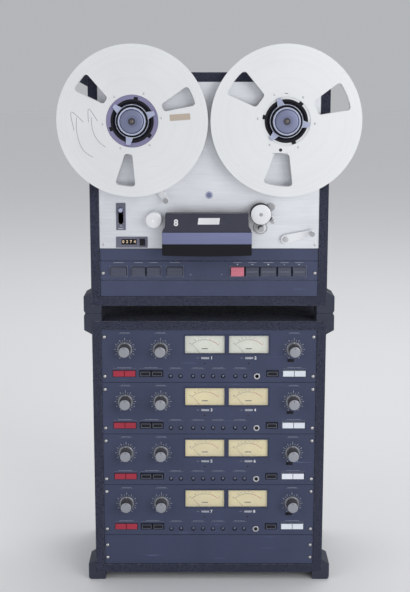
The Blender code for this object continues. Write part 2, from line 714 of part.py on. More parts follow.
def reel(side, x, first_lug, window_inner, window_outer, ring_shows):
    """One side's turntable, its hub adapter and the empty reel on it."""
    first_key = first_lug + LUG_TO_KEY_ANGLE
    table = turned(
        x,
        REEL_HEIGHT,
        [
            (0.0, TABLE_FRONT),
            (TABLE_RADIUS - TABLE_EDGE, TABLE_FRONT),
            (TABLE_RADIUS, TABLE_FRONT - TABLE_EDGE),
            (TABLE_RADIUS, TABLE_BACK + TABLE_EDGE),
            (TABLE_RADIUS - TABLE_EDGE, TABLE_BACK),
            (TABLE_BOSS_RADIUS, TABLE_BACK),
            (TABLE_BOSS_RADIUS, FACE + SEAT_GAP),
            (TABLE_SHAFT_RADIUS, FACE + SEAT_GAP),
            (TABLE_SHAFT_RADIUS, BEHIND_CHASSIS - TABLE_SHAFT_LENGTH),
            (0.0, BEHIND_CHASSIS - TABLE_SHAFT_LENGTH),
        ],
        LARGE_STEPS,
    )
    piece(table, side + "_reel_table", "dark_plastic")

    flange(side + "_reel_rear_flange", x, window_inner, window_outer, REEL_BORE_RADIUS, REAR_FLANGE_BACK)
    front_bore = HUB_RING_RADIUS if ring_shows else REEL_BORE_RADIUS + HUB_NOTCH_DEPTH
    flange(side + "_reel_front_flange", x, window_inner, window_outer, front_bore, FRONT_FLANGE_BACK)

    hub = rod(x, REEL_HEIGHT, HUB_RADIUS, HUB_BACK, HUB_FRONT, HUB_STEPS)
    if ring_shows:
        nose_radius = HUB_RING_RADIUS - SEAT_GAP
        fuse(hub, rod(x, REEL_HEIGHT, nose_radius, HUB_FRONT - EMBED, FRONT_FLANGE_FRONT, HUB_STEPS))
    bore = notched_bore(REEL_BORE_RADIUS, HUB_NOTCH_WIDTH, HUB_NOTCH_DEPTH, first_key)
    cut(hub, [plate([bore], HUB_BACK - OVERRUN, FRONT_FLANGE_FRONT + OVERRUN, x, REEL_HEIGHT)])
    piece(hub, side + "_reel_hub", "hub_plastic")

    core_radius = REEL_BORE_RADIUS - RUN_GAP
    core_back = TABLE_FRONT + SEAT_GAP
    core_front = FRONT_FLANGE_FRONT
    core = turned(
        x,
        REEL_HEIGHT,
        [
            (STEM_RADIUS + RUN_GAP, core_front),
            (CORE_GROOVE_RADIUS, core_front),
            (CORE_GROOVE_RADIUS + CORE_GROOVE, core_front - CORE_GROOVE),
            (CORE_GROOVE_RADIUS + 2 * CORE_GROOVE, core_front),
            (core_radius, core_front),
            (core_radius, core_back),
            (STEM_RADIUS + RUN_GAP, core_back),
        ],
        LARGE_STEPS,
    )
    keys = []
    for turn in range(3):
        key = rectangle(
            core_radius - CORE_GROOVE, core_radius + CORE_KEY_REACH, -CORE_KEY_WIDTH / 2, CORE_KEY_WIDTH / 2
        )
        outline = spin(key, first_key + 120.0 * turn)
        keys.append(plate([outline], HUB_BACK, core_front, x, REEL_HEIGHT))
    fuse_apart(core, keys)
    piece(core, side + "_hub_adapter", "dark_plastic")

    knob = turned(
        x,
        REEL_HEIGHT,
        [
            (0.0, KNOB_FRONT),
            (GRIP_SCREW_RADIUS, KNOB_FRONT),
            (GRIP_SCREW_RADIUS, GRIP_FRONT + GRIP_CAP_HEIGHT),
            (GRIP_CAP_RADIUS - GRIP_CAP_HEIGHT, GRIP_FRONT + GRIP_CAP_HEIGHT),
            (GRIP_CAP_RADIUS, GRIP_FRONT),
            (GRIP_CAP_RADIUS, LUG_BACK),
            (STEM_RADIUS, LUG_BACK),
            (STEM_RADIUS, LUG_BACK - STEM_LENGTH),
            (0.0, LUG_BACK - STEM_LENGTH),
        ],
        LARGE_STEPS,
    )
    grip = []
    for rib in range(GRIP_RIBS):
        middle = 360.0 * rib / GRIP_RIBS
        quarter = 90.0 / GRIP_RIBS
        grip.append(polar(GRIP_RADIUS, middle - quarter))
        grip.append(polar(GRIP_RADIUS, middle + quarter))
        grip.append(polar(GRIP_RADIUS - GRIP_RIB_DEPTH, middle + 2 * quarter))
    lugs = []
    root_half = math.degrees(math.asin(LUG_ROOT_WIDTH / 2 / LOCK_RING_RADIUS))
    tip_half = math.degrees(math.asin(LUG_TIP_WIDTH / 2 / LUG_REACH))
    for turn in range(3):
        angle = first_lug + 120.0 * turn
        lugs.append(polar(LOCK_RING_RADIUS, angle - root_half))
        lugs.append(polar(LUG_REACH, angle - tip_half))
        lugs.append(polar(LUG_REACH, angle + tip_half))
        lugs.append(polar(LOCK_RING_RADIUS, angle + root_half))
        span = 120.0 - 2 * root_half
        for step in range(1, ARC_STEPS):
            lugs.append(polar(LOCK_RING_RADIUS, angle + root_half + span * step / ARC_STEPS))
    lock = plate([lugs], LUG_BACK, LUG_FRONT, x, REEL_HEIGHT)
    fuse(knob, lock, plate([grip], LUG_FRONT - EMBED, GRIP_FRONT, x, REEL_HEIGHT))
    piece(knob, side + "_adapter_knob", "dark_plastic")

    collar_front = BEHIND_CHASSIS
    body_front = collar_front - REEL_MOTOR_COLLAR
    body_back = body_front - REEL_MOTOR_LENGTH
    bore = TABLE_SHAFT_RADIUS + RUN_GAP
    motor = turned(
        x,
        REEL_HEIGHT,
        [
            (bore, collar_front),
            (REEL_MOTOR_COLLAR_RADIUS, collar_front),
            (REEL_MOTOR_COLLAR_RADIUS, body_front),
            (REEL_MOTOR_RADIUS - REEL_MOTOR_EDGE, body_front),
            (REEL_MOTOR_RADIUS, body_front - REEL_MOTOR_EDGE),
            (REEL_MOTOR_RADIUS, body_back + REEL_MOTOR_EDGE),
            (REEL_MOTOR_RADIUS - REEL_MOTOR_EDGE, body_back),
            (bore, body_back),
        ],
        SMALL_STEPS,
    )
    piece(motor, side + "_reel_motor", "motor_paint")


def deck_place(place):
    """World X and Z of a place that is given from the bottom edge of the deck plate."""
    return place[0], DECK_BOTTOM + place[1]


def pivots():
    """Radius and place of every round hole that the deck plate and the chassis share."""
    arm_pivots = (LEFT_ARM_PIVOT, RIGHT_ARM_PIVOT, PINCH_PIVOT_PLACE)
    found = [(PIVOT_RADIUS, deck_place(place)) for place in arm_pivots]
    found.append((GUIDE_SHAFT_RADIUS, deck_place(GUIDE_ROLLER_PLACE)))
    found.append((CAPSTAN_COLLAR_RADIUS, deck_place(CAPSTAN_PLACE)))
    for x in (-REEL_X, REEL_X):
        found.append((TABLE_SHAFT_RADIUS, (x, REEL_HEIGHT)))
    return found


def cue_slot(margin):
    """Outline of the cue lever's slot, widened by a margin."""
    end = CUE_SLOT_WIDTH / 2
    top = DECK_BOTTOM + CUE_SLOT_TOP - end
    bottom = DECK_BOTTOM + CUE_SLOT_TOP - CUE_SLOT_LENGTH + end
    return capsule((CUE_PLACE_X, bottom), (CUE_PLACE_X, top), end + margin, end + margin)


def counter_hole(margin):
    return rectangle(
        COUNTER_LEFT + COUNTER_LEDGE - margin,
        COUNTER_RIGHT - COUNTER_LEDGE + margin,
        DECK_BOTTOM + COUNTER_BOTTOM + COUNTER_LEDGE - margin,
        DECK_BOTTOM + COUNTER_TOP - COUNTER_LEDGE + margin,
    )


def deck_plate():
    """The aluminium deck, with the frame of the cue slot and a fixed tape guide post."""
    bottom = DECK_BOTTOM + EDGE_GAP
    top = DECK_TOP - EDGE_GAP
    holes = [hole_points(radius + RUN_GAP, SMALL_STEPS, x, z) for radius, (x, z) in pivots()]
    holes.append(counter_hole(RUN_GAP))
    plate_body = punched(-PANEL_HALF, PANEL_HALF, PANEL_BACK, FACE, bottom, top, holes)
    frame = box(
        CUE_PLACE_X - CUE_FRAME_WIDTH / 2,
        CUE_PLACE_X + CUE_FRAME_WIDTH / 2,
        FACE - EMBED,
        FACE + CUE_FRAME_RISE,
        DECK_BOTTOM + CUE_FRAME_BOTTOM,
        DECK_BOTTOM + CUE_FRAME_TOP,
    )
    post_x, post_z = deck_place(POST_PLACE)
    post = turned(
        post_x,
        post_z,
        [
            (0.0, POST_REACH),
            (POST_LIP_RADIUS, POST_REACH),
            (POST_LIP_RADIUS, POST_REACH - POST_LIP),
            (POST_RADIUS, POST_REACH - POST_LIP),
            (POST_RADIUS, FACE - EMBED),
            (0.0, FACE - EMBED),
        ],
        HOLE_STEPS,
    )
    fuse(plate_body, frame, post)
    cut(plate_body, [plate([cue_slot(0.0)], PANEL_BACK - OVERRUN, FACE + CUE_FRAME_RISE + OVERRUN)])
    return piece(plate_body, "deck_plate", "deck_metal")


def key_layout():
    """Name, finish, X centre and width of the transport keys, from left to right."""
    left_widths = (WIDE_KEY_WIDTH, KEY_WIDTH, KEY_WIDTH, WIDE_KEY_WIDTH)
    left_names = ("power_key", "low_speed_key", "high_speed_key", "cue_key")
    keys = []
    for name, centre, width in zip(left_names, LEFT_KEY_CENTRES, left_widths):
        keys.append((name, "grey_plastic", centre, width))
    right_names = ("record_key", "rewind_key", "stop_key", "play_key", "forward_key")
    x = RIGHT_KEY_START
    for name in right_names:
        width = WIDE_KEY_WIDTH if name == "stop_key" else KEY_WIDTH
        finish = "red_key" if name == "record_key" else "grey_plastic"
        keys.append((name, finish, x + width / 2, width))
        x += width + KEY_SPACE
    return keys


def key_panel():
    """The panel under the deck: a plain trim strip above a groove, and an opening for each key."""
    bottom = KEY_PANEL_BOTTOM + EDGE_GAP
    holes = []
    z0 = KEY_PANEL_BOTTOM + KEY_BOTTOM
    for _, _, centre, width in key_layout():
        half = width / 2 + RUN_GAP
        holes.append(rectangle(centre - half, centre + half, z0 - RUN_GAP, z0 + KEY_HEIGHT + RUN_GAP))
    body = punched(-PANEL_HALF, PANEL_HALF, PANEL_BACK, FACE, bottom, DECK_BOTTOM - EDGE_GAP, holes)
    groove_top = DECK_BOTTOM - TRIM_HEIGHT
    groove = box(
        -PANEL_HALF - OVERRUN,
        PANEL_HALF + OVERRUN,
        FACE - TRIM_GROOVE_DEPTH,
        FACE + OVERRUN,
        groove_top - TRIM_GROOVE,
        groove_top,
    )
    cut(body, [groove])
    return piece(body, "key_panel", "panel_paint")


def keys():
    """The transport keys, each a dished cap with a finger ridge on a tail that slides in the panel."""
    z = KEY_PANEL_BOTTOM + KEY_BOTTOM + KEY_HEIGHT / 2
    half = KEY_HEIGHT / 2
    front = KEY_REACH
    outline = [
        (-KEY_TAIL, -half),
        (front - KEY_EDGE, -half),
        (front, -half + KEY_EDGE),
        (front - KEY_DISH, -KEY_RIDGE),
        (front, 0.0),
        (front - KEY_DISH, KEY_RIDGE),
        (front - KEY_DISH, half - KEY_EDGE),
        (front - KEY_DISH - KEY_EDGE, half),
        (-KEY_TAIL, half),
    ]
    for name, finish, centre, width in key_layout():
        key = side_profile(outline, centre - width / 2, centre + width / 2, z)
        piece(key, name, finish)


def flat_panel(name, z0, z1):
    body = box(-PANEL_HALF, PANEL_HALF, PANEL_BACK, FACE, z0 + EDGE_GAP, z1 - EDGE_GAP)
    return piece(body, name, "panel_paint")


def chassis():
    """The folded steel pan behind the deck that carries the motors and the bearings."""
    z0 = LOWER_PANEL_BOTTOM + EDGE_GAP
    z1 = DECK_TOP - EDGE_GAP
    pan = box(-PANEL_HALF, PANEL_HALF, CHASSIS_FRONT - CHASSIS_DEPTH, CHASSIS_FRONT, z0, z1)
    inside = box(
        -PANEL_HALF + CHASSIS_SHEET,
        PANEL_HALF - CHASSIS_SHEET,
        CHASSIS_FRONT - CHASSIS_DEPTH - OVERRUN,
        CHASSIS_BACK,
        z0 + CHASSIS_SHEET,
        z1 - CHASSIS_SHEET,
    )
    cut(pan, [inside])
    holes = []
    through = (CHASSIS_BACK - OVERRUN, CHASSIS_FRONT + OVERRUN)
    for radius, (x, z) in pivots():
        holes.append(plate([hole_points(radius + RUN_GAP, SMALL_STEPS, x, z)], *through))
    holes.append(plate([cue_slot(CHASSIS_HOLE_MARGIN)], *through))
    holes.append(plate([counter_hole(CHASSIS_HOLE_MARGIN)], *through))
    margin = CHASSIS_HOLE_MARGIN
    low = KEY_PANEL_BOTTOM + KEY_BOTTOM - margin
    high = KEY_PANEL_BOTTOM + KEY_BOTTOM + KEY_HEIGHT + margin
    layout = key_layout()
    for group in (layout[:4], layout[4:]):
        left = group[0][2] - group[0][3] / 2 - margin
        right = group[-1][2] + group[-1][3] / 2 + margin
        holes.append(box(left, right, *through, low, high))
    cut(pan, holes)
    return piece(pan, "transport_chassis", "zinc_sheet")


def guide_roller():
    """The large roller before the heads, with its flywheel behind the chassis."""
    x, z = deck_place(GUIDE_ROLLER_PLACE)
    back = FACE + GUIDE_ROLLER_LIFT
    front = back + GUIDE_ROLLER_HEIGHT
    waist = GUIDE_ROLLER_RADIUS - GUIDE_ROLLER_WAIST
    wheel = BEHIND_CHASSIS - RUN_GAP
    profile = [
        (0.0, front),
        (waist, front),
        (GUIDE_ROLLER_RADIUS, front - GUIDE_ROLLER_WAIST),
        (GUIDE_ROLLER_RADIUS, front - GUIDE_ROLLER_LIP),
        (waist, front - GUIDE_ROLLER_LIP - GUIDE_ROLLER_WAIST),
        (waist, back + GUIDE_ROLLER_LIP + GUIDE_ROLLER_WAIST),
        (GUIDE_ROLLER_RADIUS, back + GUIDE_ROLLER_LIP),
        (GUIDE_ROLLER_RADIUS, back),
        (GUIDE_SHAFT_RADIUS, back),
        (GUIDE_SHAFT_RADIUS, wheel),
        (GUIDE_FLYWHEEL_RADIUS, wheel),
        (GUIDE_FLYWHEEL_RADIUS, wheel - GUIDE_FLYWHEEL_WIDTH),
        (0.0, wheel - GUIDE_FLYWHEEL_WIDTH),
    ]
    return piece(turned(x, z, profile, MID_STEPS), "guide_roller", "white_metal")


def capstan_and_motor():
    """The capstan with its flywheel, and the fixed bearing housing that it runs in."""
    x, z = deck_place(CAPSTAN_PLACE)
    mount_back = BEHIND_CHASSIS - CAPSTAN_MOUNT_THICKNESS
    sleeve_back = mount_back - CAPSTAN_SLEEVE_LENGTH
    bore = CAPSTAN_RADIUS + RUN_GAP
    housing = turned(
        x,
        z,
        [
            (bore, FACE + CAPSTAN_COLLAR_RISE),
            (CAPSTAN_COLLAR_RADIUS, FACE + CAPSTAN_COLLAR_RISE),
            (CAPSTAN_COLLAR_RADIUS, BEHIND_CHASSIS),
            (CAPSTAN_MOUNT_RADIUS, BEHIND_CHASSIS),
            (CAPSTAN_MOUNT_RADIUS, mount_back),
            (CAPSTAN_SLEEVE_RADIUS, mount_back),
            (CAPSTAN_SLEEVE_RADIUS, sleeve_back),
            (bore, sleeve_back),
        ],
        SMALL_STEPS,
    )
    piece(housing, "capstan_motor", "steel")
    wheel = sleeve_back - RUN_GAP
    shaft = turned(
        x,
        z,
        [
            (0.0, CAPSTAN_REACH),
            (CAPSTAN_RADIUS, CAPSTAN_REACH),
            (CAPSTAN_RADIUS, wheel),
            (FLYWHEEL_RADIUS, wheel),
            (FLYWHEEL_RADIUS, wheel - FLYWHEEL_WIDTH),
            (0.0, wheel - FLYWHEEL_WIDTH),
        ],
        MID_STEPS,
    )
    piece(shaft, "capstan", "steel")


def swing_arm(name, pivot, tip, back, thickness, root_radius, tip_radius, pins, finish):
    """A flat arm on a pivot that runs through the deck and the chassis, with its origin on the pivot."""
    px, pz = deck_place(pivot)
    run = (tip[0] - pivot[0], tip[1] - pivot[1])
    arm = plate([capsule((0.0, 0.0), run, root_radius, tip_radius)], back, back + thickness, px, pz)
    stub = rod(px, pz, PIVOT_RADIUS, CHASSIS_BACK - PIVOT_TAIL, back + EMBED)
    fuse(arm, stub, *pins)
    return piece(arm, name, finish)


def tension_arm(name, pivot, pin):
    """A sprung arm with a flanged tape pin."""
    x, z = deck_place(pin)
    back = FACE + ARM_LIFT
    foot = back + ARM_THICKNESS
    tip = foot + ARM_PIN_LENGTH
    shaft = turned(
        x,
        z,
        [
            (0.0, tip),
            (ARM_PIN_LIP_RADIUS, tip),
            (ARM_PIN_LIP_RADIUS, tip - ARM_PIN_LIP),
            (ARM_PIN_RADIUS, tip - ARM_PIN_LIP),
            (ARM_PIN_RADIUS, foot - EMBED),
            (0.0, foot - EMBED),
        ],
        HOLE_STEPS,
    )
    return swing_arm(
        name, pivot, pin, back, ARM_THICKNESS, ARM_ROOT_RADIUS, ARM_TIP_RADIUS, [shaft], "white_metal"
    )


def pinch_roller_and_arm():
    x, z = deck_place(PINCH_PLACE)
    back = FACE + PINCH_ARM_LIFT
    roller_back = back + PINCH_ARM_THICKNESS + SEAT_GAP
    roller_front = roller_back + PINCH_HEIGHT
    axle = rod(x, z, PINCH_AXLE_RADIUS, back + PINCH_ARM_THICKNESS - EMBED, roller_front, SMALL_STEPS)
    swing_arm(
        "pinch_arm",
        PINCH_PIVOT_PLACE,
        PINCH_PLACE,
        back,
        PINCH_ARM_THICKNESS,
        PINCH_ARM_RADIUS,
        PINCH_ARM_RADIUS - EMBED,
        [axle],
        "steel",
    )
    bore = PINCH_AXLE_RADIUS + RUN_GAP
    roller = turned(
        x,
        z,
        [
            (bore, roller_front),
            (PINCH_RADIUS - EMBED, roller_front),
            (PINCH_RADIUS, roller_front - EMBED),
            (PINCH_RADIUS, roller_back + EMBED),
            (PINCH_RADIUS - EMBED, roller_back),
            (bore, roller_back),
        ],
        MID_STEPS,
    )
    piece(roller, "pinch_roller", "rubber")


def head_assembly():
    """The head block, the fixed housing below the tape and the cover that flips down in front of it.

    The cover is open at its back, so that it swings clear of the tape and of the left tension arm's pin.
    """
    back = FACE + SEAT_GAP
    top = DECK_BOTTOM + HOUSING_TOP
    bottom = DECK_BOTTOM + HOUSING_BOTTOM
    middle = (HEAD_LEFT + HEAD_RIGHT) / 2
    half = (HEAD_RIGHT - HEAD_LEFT) / 2
    sagging = [(HEAD_LEFT, top), (HEAD_LEFT, bottom + HOUSING_SAG)]
    for step in range(1, 2 * ARC_STEPS):
        share = step / ARC_STEPS - 1.0
        sagging.append((middle + half * share, bottom + HOUSING_SAG * share * share))
    sagging += [(HEAD_RIGHT, bottom + HOUSING_SAG), (HEAD_RIGHT, top)]
    housing = plate([sagging], back, HOUSING_PROUD)
    band = DECK_BOTTOM + HOUSING_BAND_BOTTOM
    step_cut = box(
        HEAD_LEFT - OVERRUN,
        HEAD_RIGHT + OVERRUN,
        HOUSING_PROUD - HOUSING_STEP,
        HOUSING_PROUD + OVERRUN,
        bottom - OVERRUN,
        band,
    )
    hollow = box(
        HEAD_LEFT + HEAD_SHELL,
        HEAD_RIGHT - HEAD_SHELL,
        back - OVERRUN,
        HOUSING_PROUD - HEAD_SHELL - HOUSING_STEP,
        DECK_BOTTOM + HEAD_SHELL,
        top + OVERRUN,
    )
    cut(housing, [step_cut])
    cut(housing, [hollow])
    piece(housing, "head_housing", "dark_plastic")

    plate_left = HEAD_LEFT + HEAD_SHELL + EDGE_GAP
    plate_right = HEAD_RIGHT - HEAD_SHELL - EDGE_GAP
    inset = COVER_TOP_INSET_RIGHT + HEAD_PLATE_MARGIN
    block = plate(
        [
            [
                (plate_left, DECK_BOTTOM + HEAD_SHELL + EDGE_GAP),
                (plate_right, DECK_BOTTOM + HEAD_SHELL + EDGE_GAP),
                (plate_right, top),
                (plate_right - inset, top),
                (plate_right - inset, DECK_BOTTOM + COVER_TOP - 2 * HEAD_SHELL),
                (plate_left + inset, DECK_BOTTOM + COVER_TOP - 2 * HEAD_SHELL),
                (plate_left + inset, top),
                (plate_left, top),
            ]
        ],
        back,
        back + HEAD_PLATE_THICKNESS,
    )
    heads = []
    for centre in HEAD_CENTRES:
        left = centre - HEAD_WIDTH / 2
        right = centre + HEAD_WIDTH / 2
        low = DECK_BOTTOM + HEAD_BOTTOM
        high = DECK_BOTTOM + HEAD_TOP
        outline = rounded(rectangle(left, right, low, high), [0.0, 0.0, HEAD_ROUND, HEAD_ROUND], WINDOW_STEPS)
        heads.append(plate([outline], back + HEAD_PLATE_THICKNESS - EMBED, HEAD_PROUD))
    fuse_apart(block, heads)
    piece(block, "head_block", "steel")

    cover_bottom = top + SEAT_GAP
    cover_top = DECK_BOTTOM + COVER_TOP
    flare = cover_bottom + COVER_FLARE_HEIGHT
    flared = [
        (HEAD_LEFT, cover_bottom),
        (HEAD_RIGHT, cover_bottom),
        (HEAD_RIGHT - COVER_FLARE_INSET / 2, cover_bottom + COVER_FLARE_HEIGHT / 3),
        (HEAD_RIGHT - COVER_FLARE_INSET - EMBED, flare),
        (HEAD_LEFT + COVER_FLARE_INSET + EMBED, flare),
        (HEAD_LEFT + COVER_FLARE_INSET / 2, cover_bottom + COVER_FLARE_HEIGHT / 3),
    ]
    straight = [
        (HEAD_LEFT + COVER_FLARE_INSET, cover_bottom),
        (HEAD_RIGHT - COVER_FLARE_INSET, cover_bottom),
        (HEAD_RIGHT - COVER_TOP_INSET_RIGHT, cover_top),
        (HEAD_LEFT + COVER_TOP_INSET_LEFT, cover_top),
    ]
    cover = plate([straight], COVER_BACK_PROUD, HOUSING_PROUD)
    fuse(cover, plate([flared], COVER_FLARE_PROUD, HOUSING_PROUD))
    slope = [
        (HOUSING_PROUD, cover_bottom),
        (HOUSING_PROUD + OVERRUN, cover_bottom),
        (HOUSING_PROUD + OVERRUN, cover_top + OVERRUN),
        (COVER_PROUD_TOP, cover_top + OVERRUN),
        (COVER_PROUD_TOP, cover_top),
    ]
    cut(cover, [side_profile(slope, HEAD_LEFT - OVERRUN, HEAD_RIGHT + OVERRUN)])
    roof = cover_top - HEAD_SHELL
    cavity = [
        (COVER_BACK_PROUD - OVERRUN, cover_bottom - OVERRUN),
        (HOUSING_PROUD - HEAD_SHELL, cover_bottom - OVERRUN),
        (COVER_PROUD_TOP - HEAD_SHELL, roof),
        (COVER_BACK_PROUD - OVERRUN, roof),
    ]
    side_inset = COVER_TOP_INSET_RIGHT + HEAD_SHELL
    cut(cover, [side_profile(cavity, HEAD_LEFT + side_inset, HEAD_RIGHT - side_inset)])
    slot = box(
        HEAD_LEFT - OVERRUN,
        HEAD_RIGHT + OVERRUN,
        COVER_BACK_PROUD - OVERRUN,
        TAPE_SLOT_FRONT,
        cover_bottom - OVERRUN,
        cover_bottom + TAPE_SLOT_HEIGHT,
    )
    cut(cover, [slot])
    made = solid_mesh(cover)
    pivot = Vector((middle, front_y(HOUSING_PROUD), cover_bottom))
    to_pivot = Matrix.Translation(-pivot) @ made.matrix_world
    made.data.transform(to_pivot)
    made.matrix_world = Matrix.Translation(pivot)
    piece(made, "head_cover", "dark_plastic")


def cue_lever():
    """The cue lever: a round tip on a stem through the slot, with a sliding shoe behind the chassis."""
    z = DECK_BOTTOM + CUE_SLOT_TOP - CUE_SLOT_WIDTH / 2 - RUN_GAP
    shoe_front = BEHIND_CHASSIS
    lever = turned(
        CUE_PLACE_X,
        z,
        [
            (0.0, CUE_REACH),
            (CUE_STEM_RADIUS - EMBED, CUE_REACH),
            (CUE_STEM_RADIUS, CUE_REACH - EMBED),
            (CUE_STEM_RADIUS, shoe_front - EMBED),
            (0.0, shoe_front - EMBED),
        ],
        SMALL_STEPS,
    )
    half = CUE_SHOE_WIDTH / 2
    shoe_back = shoe_front - CUE_SHOE_THICKNESS
    shoe = box(CUE_PLACE_X - half, CUE_PLACE_X + half, shoe_back, shoe_front, z - half, z + half)
    fuse(lever, shoe)
    return piece(lever, "cue_lever", "grey_plastic")


def counter():
    """The tape counter behind its bezel, and the button that sets it to nought."""
    bottom = DECK_BOTTOM + COUNTER_BOTTOM
    top = DECK_BOTTOM + COUNTER_TOP
    back = FACE + SEAT_GAP
    front = FACE + COUNTER_RISE
    unit = box(COUNTER_LEFT, COUNTER_RIGHT, back, front, bottom, top)
    body = plate([counter_hole(0.0)], -COUNTER_BODY_DEPTH, back + EMBED)
    fuse(unit, body)
    window = box(
        COUNTER_WINDOW_LEFT,
        COUNTER_WINDOW_RIGHT,
        front - COUNTER_WINDOW_DEPTH,
        front + OVERRUN,
        DECK_BOTTOM + COUNTER_WINDOW_BOTTOM,
        DECK_BOTTOM + COUNTER_WINDOW_TOP,
    )
    low = DECK_BOTTOM + RESET_BOTTOM
    well = box(
        RESET_LEFT - RUN_GAP,
        RESET_LEFT + RESET_WIDTH + RUN_GAP,
        front - RESET_DEPTH - RESET_TRAVEL - RUN_GAP,
        front + OVERRUN,
        low - RUN_GAP,
        low + RESET_HEIGHT + RUN_GAP,
    )
    cut(unit, [window, well])
    piece(unit, "counter_unit", "dark_plastic")
    button = box(
        RESET_LEFT,
        RESET_LEFT + RESET_WIDTH,
        front - RESET_DEPTH,
        front + RESET_REACH,
        low,
        low + RESET_HEIGHT,
        EMBED,
    )
    piece(button, "counter_reset_button", "grey_plastic")


def back_cover():
    """The vented sheet that closes the back of the transport cabinet, with the mains inlet."""
    z0 = LOWER_PANEL_BOTTOM + EDGE_GAP
    z1 = DECK_TOP - EDGE_GAP
    front = -CASE_DEPTH + BACK_RECESS + PANEL_THICKNESS
    rear = -CASE_DEPTH + BACK_RECESS
    vents = []
    for side in (-1, 1):
        middle = side * VENT_SPREAD / 2
        for row in range(VENT_ROWS):
            z = z1 - VENT_TOP_MARGIN - row * VENT_PITCH
            ends = ((middle - VENT_LENGTH / 2, z), (middle + VENT_LENGTH / 2, z))
            vents.append(capsule(*ends, VENT_WIDTH / 2, VENT_WIDTH / 2, 2))
    sheet = punched(-PANEL_HALF, PANEL_HALF, rear, front, z0, z1, vents)
    inlet_z = z0 + INLET_Z
    half_x = INLET_WIDTH / 2
    half_z = INLET_HEIGHT / 2
    cup = box(
        INLET_X - half_x - INLET_WALL,
        INLET_X + half_x + INLET_WALL,
        rear + EMBED,
        rear + INLET_DEPTH,
        inlet_z - half_z - INLET_WALL,
        inlet_z + half_z + INLET_WALL,
    )
    fuse(sheet, cup)
    mouth = box(
        INLET_X - half_x,
        INLET_X + half_x,
        rear - OVERRUN,
        rear + INLET_DEPTH - INLET_WALL,
        inlet_z - half_z,
        inlet_z + half_z,
    )
    cut(sheet, [mouth])
    pins = []
    for side in (-1, 0, 1):
        pin_x = INLET_X + side * INLET_PIN_SPREAD
        pin_z = inlet_z + (INLET_PIN_HEIGHT if side == 0 else 0.0) - INLET_PIN_HEIGHT / 2
        pins.append(
            box(
                pin_x - INLET_PIN_WIDTH / 2,
                pin_x + INLET_PIN_WIDTH / 2,
                rear + INLET_WALL,
                rear + INLET_DEPTH - INLET_WALL / 2,
                pin_z - INLET_PIN_HEIGHT / 2,
                pin_z + INLET_PIN_HEIGHT / 2,
            )
        )
    fuse_apart(sheet, pins)
    return piece(sheet, "transport_back_cover", "zinc_sheet")


